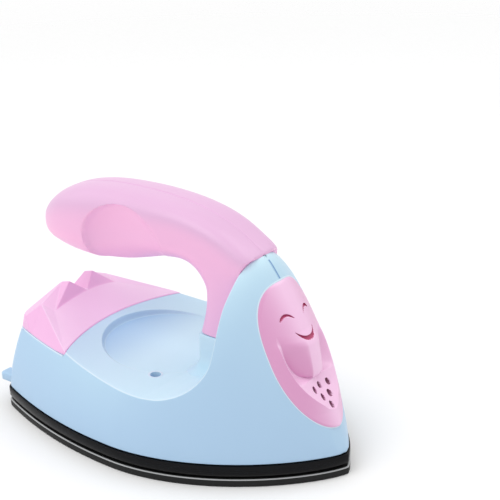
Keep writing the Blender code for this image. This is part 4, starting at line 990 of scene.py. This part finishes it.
rear = {
    "gap": 0.06, "round": 0.6, "roundSteps": 3, "sharpest": 12, "frontY": 28.9, "frontRise": 0.25,
    "steps": 14, "sidePoints": 5, "cornerShares": (0.33, 0.67, 1.0),
    "centre": (-45.0, 0, 36.0), "valley": (-45.8, 15.0, 33.3), "ridge": (-50.9, 16.0, 35.2),
    "earFront": (-47.6, 5.6, 40.7), "earBack": (-51.3, 5.6, 39.7), "notch": (-52.5, 0, 35.6),
    "heelMid": (-56.5, 16.0, 32.7), "heelTop": 31.6, "heelLean": 0.45, "sideLean": 0.9,
}


def makeRearCover():
    # Faceted cover with two ears and a notch, on the seat behind the deck's arc
    base, steps = body["seat"] + rear["gap"], rear["steps"]
    points, faces = [], []

    def add(x, y, z):
        points.append((float(x), float(y), float(z)))
        return len(points) - 1

    def pair(key):
        x, y, z = rear[key]
        return [add(x, s * y, z) for s in (-1, 1)]

    low, high = [], []
    for k in range(-steps, steps + 1):
        y = rear["frontY"] * k / steps
        x = float(arcX(np.array(y)))
        low.append(add(x, y, base))
        high.append(add(x, y, deck(np.array(x)) + rear["frontRise"]))
    centre, notch = add(*rear["centre"]), add(*rear["notch"])
    pairs = (pair(key) for key in ("valley", "ridge", "earFront", "earBack", "heelMid"))
    valley, ridgeTop, earFront, earBack, heelMid = pairs
    # Outline of the base on each side: sidePoints from the arc's end, then three round the heel corner
    heel, corner = heelFace(base), body["heelCorner"]
    wide = float(wallWidth(np.array(heel), base))
    first, last = points[low[0]][0], heel + corner
    outline = []
    for k in range(1, rear["sidePoints"] + 1):
        x = first + (last - first) * k / rear["sidePoints"]
        outline.append((x, float(wallWidth(np.array(x), base))))
    ends = outline[-1], (heel, wide), (heel, wide - corner)
    for q in rear["cornerShares"]:
        outline.append(tuple(bend(*values, q) for values in zip(*ends)))
    sides = [[add(x, s * y, base) for x, y in outline] for s in (-1, 1)]
    tops, lean = [], rear["heelLean"]
    for s in (-1, 1):
        top = [(x + lean, s * (y - rear["sideLean"])) for x, y in outline[rear["sidePoints"] - 1:]]
        tops.append([add(x, y, rear["heelTop"]) for x, y in top])
    # The fold in front of the ears is one smooth curve from valley to valley
    fold = []
    for k in range(-steps, steps + 1):
        share = (k / steps) ** 2
        x, z = (rear["centre"][i] + (rear["valley"][i] - rear["centre"][i]) * share for i in (0, 2))
        ends = {-steps: valley[0], steps: valley[1], 0: centre}
        fold.append(ends[k] if k in ends else add(x, rear["valley"][1] * k / steps, z))
    for a, b in zip(range(len(low) - 1), range(1, len(low))):
        faces.append((low[a], low[b], high[b], high[a]))
        faces.append((high[a], high[b], fold[b], fold[a]))
        faces.append((fold[a], fold[b], earFront[0 if b <= steps else 1]))
    for i, tip in enumerate((0, -1)):
        a, c, t = high[tip], sides[i], tops[i]
        faces += [
            (ridgeTop[i], valley[i], a), (valley[i], earFront[i], earBack[i]),
            (valley[i], earBack[i], ridgeTop[i]), (centre, earFront[i], earBack[i], notch),
            (a, low[tip], c[0]), (a, c[0], ridgeTop[i]), (c[0], c[1], ridgeTop[i]), (c[1], c[2], ridgeTop[i]),
            (c[2], c[3], ridgeTop[i]), (c[3], c[4], t[0]), (c[3], t[0], ridgeTop[i]),
            (c[4], c[5], t[1], t[0]), (c[5], c[6], t[2], t[1]), (c[6], c[7], t[3], t[2]),
            (t[0], t[1], ridgeTop[i]), (t[1], heelMid[i], ridgeTop[i]), (t[1], t[2], heelMid[i]),
            (t[2], t[3], heelMid[i]), (ridgeTop[i], heelMid[i], earBack[i]), (heelMid[i], earBack[i], notch),
        ]
    faces.append((heelMid[0], heelMid[1], notch))
    faces.append((tops[0][3], tops[1][3], heelMid[1], heelMid[0]))
    faces.append((sides[0][7], sides[1][7], tops[1][3], tops[0][3]))
    faces.append(low + sides[1] + sides[0][::-1])
    mesh = bpy.data.meshes.new("rearCover")
    mesh.from_pydata((np.array(points) * mm).tolist(), [], faces)
    work = bmesh.new()
    work.from_mesh(mesh)
    bmesh.ops.recalc_face_normals(work, faces=work.faces)
    work.to_mesh(mesh)
    work.free()
    mesh.materials.append(looks["rear"])
    mesh.shade_smooth()
    cover = addToScene("rearCover", mesh)
    soft = cover.modifiers.new("soft", "BEVEL")
    soft.width = rear["round"] * mm
    soft.segments = rear["roundSteps"]
    soft.limit_method = "ANGLE"
    soft.angle_limit = math.radians(rear["sharpest"])
    soft.harden_normals = True
    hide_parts("rear_cover")
    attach(cover, "iron")


makeRearCover()
print("rear cover ready")

handle = {
    "reach": 57.0, "top": 78.0, "halfWidth": 12.6, "roundPower": 2.5, "squarePower": 5.0, "soft": 0.35,
    "scoopX": -17.0, "scoopZ": 61.4, "scoopHalfLength": 15.8, "scoopHalfHeight": 13.4, "scoopDepth": 4.4,
    "scoopLean": 0.3, "scoopPower": 0.68, "scoopSoft": 0.1, "fadeFrom": 0.1, "fadeTo": 0.9,
    "seam": 0.004, "grooveHalf": 0.5, "grooveDepth": 0.22, "crown": 64.9, "gap": 0.05, "sharp": 50,
    "stations": 230, "around": 130, "seamAngles": (0.0, 0.001, 0.003, 0.006, 0.01, 0.016, 0.024, 0.034, 0.05),
}
# Sections from the tip forward and down to the root: top point x, z, low point x, z and half width,
# as shares of reach, top, reach, top and halfWidth
handleShares = np.array((
    (-1.0, 0.805, -1.0, 0.765, 0.16),
    (-0.985, 0.838, -0.988, 0.737, 0.42),
    (-0.960, 0.868, -0.965, 0.717, 0.56),
    (-0.905, 0.903, -0.915, 0.700, 0.70),
    (-0.825, 0.941, -0.825, 0.690, 0.84),
    (-0.702, 0.973, -0.702, 0.680, 0.95),
    (-0.561, 0.991, -0.561, 0.678, 1.0),
    (-0.404, 0.999, -0.404, 0.686, 1.0),
    (-0.246, 1.0, -0.272, 0.708, 0.97),
    (-0.088, 0.995, -0.140, 0.736, 0.92),
    (0.070, 0.982, -0.026, 0.762, 0.87),
    (0.211, 0.959, 0.079, 0.769, 0.84),
    (0.333, 0.926, 0.158, 0.750, 0.82),
    (0.439, 0.882, 0.205, 0.712, 0.80),
    (0.556, 0.818, 0.232, 0.662, 0.79),
    (0.560, 0.705, 0.226, 0.600, 0.79),
    (0.560, 0.590, 0.210, 0.545, 0.80),
    (0.560, 0.497, 0.192, 0.497, 0.82),
))


def handleStations():
    last = len(handleShares) - 1
    at = np.linspace(0, last, handle["stations"])
    columns = []
    for column in handleShares.T:
        curve = curveThrough(list(enumerate(column)))
        columns.append(smoothed(curve, 0, last, handle["soft"])(at))
    return at / last, np.stack(columns, 1)


def scoopDepth(x, z):
    # How far the grip scoop goes in; deeper and steeper at its rear end
    h = handle
    u, v = (x - h["scoopX"]) / h["scoopHalfLength"], (z - h["scoopZ"]) / h["scoopHalfHeight"]
    inside = np.clip(1 - u * u - v * v, 0, 1)
    power = h["scoopPower"] + h["scoopSoft"] * np.clip(u, -1, 1)
    return h["scoopDepth"] * (1 - h["scoopLean"] * u) * inside ** power


def towerX(z):
    # Rear edge of the tower at z
    x, height = profile[deckRows:].T
    order = np.argsort(height, kind="stable")
    return np.interp(z, height[order], x[order])


def makeHandle(name, side, node):
    # One half of the handle, from the seam on top round to the seam below
    h = handle
    forward, stations = handleStations()
    start = h["seamAngles"][-1]
    fine = np.array(h["seamAngles"][:-1])
    angle = np.concatenate((fine, np.linspace(start, math.pi - start, h["around"]), math.pi - fine[::-1]))
    rows = []
    for t, (topX, topZ, lowX, lowZ, wide) in zip(forward, stations):
        power = h["roundPower"] + (h["squarePower"] - h["roundPower"]) * t ** 2
        up = np.sign(np.cos(angle)) * np.abs(np.cos(angle)) ** (2 / power)
        out = np.abs(np.sin(angle)) ** (2 / power)
        out[0] = out[-1] = 0
        topX, topZ, lowX, lowZ = topX * h["reach"], topZ * h["top"], lowX * h["reach"], lowZ * h["top"]
        x = (topX + lowX) / 2 + (topX - lowX) / 2 * up
        z = (topZ + lowZ) / 2 + (topZ - lowZ) / 2 * up
        y = h["seam"] + (wide * h["halfWidth"] - h["seam"]) * out
        fade = smoothStep((out - h["fadeFrom"]) / (h["fadeTo"] - h["fadeFrom"]))
        y = np.maximum(y - scoopDepth(x, z) * fade, h["seam"])
        groove = np.clip(1 - y / h["grooveHalf"], 0, 1) * (angle < 1)  # along the top only
        z = z - h["grooveDepth"] * groove
        x = np.where(z < h["crown"], np.minimum(x, towerX(z) - h["gap"]), x)
        rows.append(np.stack((x, side * y, z), 1))
    skin = Skin()
    shell = np.stack(rows)
    skin.grid(shell, flip=side > 0)
    # Flat joint face on the middle plane, and the two ends
    skin.grid(np.stack((shell[:, 0], shell[:, -1]), 0), flip=side < 0)
    for row, flip in ((shell[0], side < 0), (shell[-1], side > 0)):
        skin.fan(row, row.mean(0) * (1, 0, 1) + (0, side * h["seam"], 0), flip=flip)
    half = skin.build(name, ("pink",), sharp=handle["sharp"])
    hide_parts(node)
    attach(half, "iron")


makeHandle("handleNear", -1, "handle_right")
makeHandle("handleFar", 1, "handle_left")
print("handle ready")

soleEdge = {
    "points": 260, "crowding": 1.7, "noseInset": 1.3, "corner": 3.0, "cornerFrom": 3.2, "cornerPoints": 12,
    "sharp": 40,
}
# Bands of sole and skirt from bottom to top: inset, height and look; look 1 is the pale grey upper edge of
# the plate, partly its bare edge and partly a painted highlight
sole = (
    (0.5, 0.0, 0), (0.22, 0.06, 0), (0.06, 0.22, 0), (0.0, 0.5, 0), (0.0, 2.1, 0), (0.03, 2.24, 0),
    (0.12, 2.4, 1), (0.25, 2.47, 1), (0.42, 2.5, 1), (0.9, 2.5, 0), (6.0, 2.5, 0),
)
skirt = (
    (8.5, 3.9, 0), (0.3, 3.9, 0), (0.1, 3.97, 0), (0.0, 4.15, 0), (0.0, 6.75, 0), (0.1, 6.93, 0),
    (0.3, 7.0, 0), (8.5, 7.0, 0), (8.5, 3.9, 0),
)


def soleOutline(inset):
    o, long, wide = soleEdge, body["halfLength"], body["halfWidth"]
    share = np.linspace(0, 1, o["points"]) ** o["crowding"]
    narrow = (wide - inset) / wide
    front, back = long - o["noseInset"] * inset, inset - long
    x = long - 2 * long * share
    side = np.stack((front - (front - back) * share, plan(x) * narrow), 1)
    corner = side[-1]
    keep = side[x > o["cornerFrom"] - long]
    start = corner + (keep[-1] - corner) / np.linalg.norm(keep[-1] - corner) * o["corner"]
    q = np.linspace(0, 1, o["cornerPoints"])[:, None]
    keep[0, 1] = 0
    line = np.vstack((keep, bend(start, corner, corner - (0, o["corner"]), q)))
    return np.vstack((line, line[::-1][:-1] * (1, -1)))


def makeBand(name, levels, materials, node, cap):
    # Closed band round the sole's outline; cap adds its bottom and top
    skin = Skin()
    rings = [flatRow(soleOutline(inset), z) for inset, z, _ in levels]
    for low, high, (_, _, look) in zip(rings, rings[1:], levels[1:]):
        skin.grid(np.stack((low, high)), look=look, closed=True)
    if cap:
        skin.fan(rings[0], (0, 0, levels[0][1]), flip=True)
        skin.fan(rings[-1], (0, 0, levels[-1][1]), look=levels[-1][2])
    band = skin.build(name, materials, sharp=soleEdge["sharp"])
    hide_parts(node)
    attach(band, "iron")


makeBand("sole", sole, ("sole", "edge"), "sole_plate", True)
makeBand("skirt", skirt, ("skirt",), "base_skirt", False)
print("sole and skirt ready")

spring = {"turns": 6, "wire": 0.22, "travel": 1.2, "aroundWire": 10, "perTurn": 36}


def makeSpring(name, node):
    # Coil spring behind a contact pin, filling the bounds of the part it replaces
    s = spring
    corners = np.array([v.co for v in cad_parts[node].data.vertices]) / mm
    low, high = corners.min(0), corners.max(0)
    middle = (low + high) / 2
    radius = (high[2] - low[2]) / 2 - s["wire"]
    turn = np.linspace(0, 2 * math.pi * s["turns"], s["turns"] * s["perTurn"] + 1)
    share = turn / turn[-1]
    start, end = low[0] + s["wire"], high[0] - s["wire"]
    around = fullTurn(s["aroundWire"])[None]
    reach = radius + s["wire"] * np.cos(around)
    x = (start + (end - start) * share)[:, None] + s["wire"] * np.sin(around)
    y = middle[1] + reach * np.cos(turn)[:, None]
    z = middle[2] + reach * np.sin(turn)[:, None]
    rows = np.stack((x, y, z), 2)
    skin = Skin()
    skin.grid(rows, closed=True, flip=True)
    skin.fan(rows[0], rows[0].mean(0))
    skin.fan(rows[-1], rows[-1].mean(0), flip=True)
    coil = skin.build(name, ("steel",))
    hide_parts(node)
    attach(coil, "iron")
    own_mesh(coil)


makeSpring("springLeft", "contact_spring_left")
makeSpring("springRight", "contact_spring_right")
print("springs ready")

studio = {
    "lights": {  # place, power and side of each square light
        "key": ((-0.2, -0.62, 1.05), 4.0, 0.8),
        "top": ((0.0, 0.0, 1.25), 2.4, 1.2),
        "back": ((0.45, 0.6, 1.0), 2.8, 0.8),
        "left": ((-0.9, -0.25, 0.7), 1.2, 0.8),
    },
    "aim": (0, 0, 0.03),
    "ambient": 0.675,
    "backdrop": 1.0,
    "floorSize": 6.0,
    "floorShade": 0.95,
    "floorMottle": 0.01,
    "floorCloud": 8.0,
    "floorRough": 0.9,
    "floorFade": (0.3, 0.9),
}
camera = {  # the photograph's view: place in millimetres, the view's axes, lens and sensor
    "centre": (237.5627, -278.8278, 202.5316),
    "right": (0.80107341, 0.59797961, -0.02649119),
    "up": (-0.19826357, 0.30683963, 0.93088184),
    "back": (0.5647769, -0.74045245, 0.36435864),
    "lens": 90.4727,
    "sensor": 36.0,
    "nearest": 0.01,
}


def makeFloor():
    size, shade = studio["floorSize"], studio["floorShade"]
    mesh = bpy.data.meshes.new("floor")
    corners = [(-size, -size, 0), (size, -size, 0), (size, size, 0), (-size, size, 0)]
    mesh.from_pydata(corners, [], [(0, 1, 2, 3)])
    floor = addToScene("floor", mesh)
    look = Finish("paleFloor", Roughness=studio["floorRough"])
    darker = shade - studio["floorMottle"]
    look.feed("Base Color", look.mix(look.noise(studio["floorCloud"]), (darker,) * 3, (shade,) * 3))
    # The floor fades into the white backdrop
    away = look.node("ShaderNodeVectorMath", {"operation": "LENGTH"}, {0: look.place}, "Value")
    look.feed("Alpha", 1.0 - away.step(*studio["floorFade"]))
    mesh.materials.append(look.material)


def makeWorld():
    # Soft light all round; the camera and glossy surfaces see plain white
    world = bpy.data.worlds.new("studio")
    bpy.context.scene.world = world
    nodes = Nodes(world)
    seen = nodes.node("ShaderNodeLightPath", {}, {}, "Is Camera Ray")
    seen = seen.maths("MAXIMUM", nodes.beside(seen, "Is Glossy Ray"))
    soft, white = (
        nodes.node("ShaderNodeBackground", {}, {"Color": (1, 1, 1, 1), "Strength": studio[key]})
        for key in ("ambient", "backdrop")
    )
    both = nodes.node("ShaderNodeMixShader", {}, {0: seen, 1: soft, 2: white})
    nodes.node("ShaderNodeOutputWorld", {}, {"Surface": both})


def makeLight(name, place, power, side):
    data = bpy.data.lights.new(name, "AREA")
    data.shape = "RECTANGLE"
    data.size = data.size_y = side
    data.energy = power
    light = addToScene(name, data)
    light.location = place
    light.rotation_euler = (Vector(studio["aim"]) - Vector(place)).to_track_quat("-Z", "Y").to_euler()


def makeCamera():
    data = bpy.data.cameras.new("camera")
    data.lens = camera["lens"]
    data.sensor_width = camera["sensor"]
    data.clip_start = camera["nearest"]
    item = addToScene("camera", data)
    axes = Matrix((camera["right"], camera["up"], camera["back"])).transposed().to_4x4()
    item.matrix_world = Matrix.Translation(Vector(camera["centre"]) * mm) @ axes
    bpy.context.scene.camera = item


makeFloor()
makeWorld()
for lightName, values in studio["lights"].items():
    makeLight(lightName, *values)
makeCamera()
print("stage ready")
scene = bpy.context.scene
scene.view_settings.view_transform = "Standard"
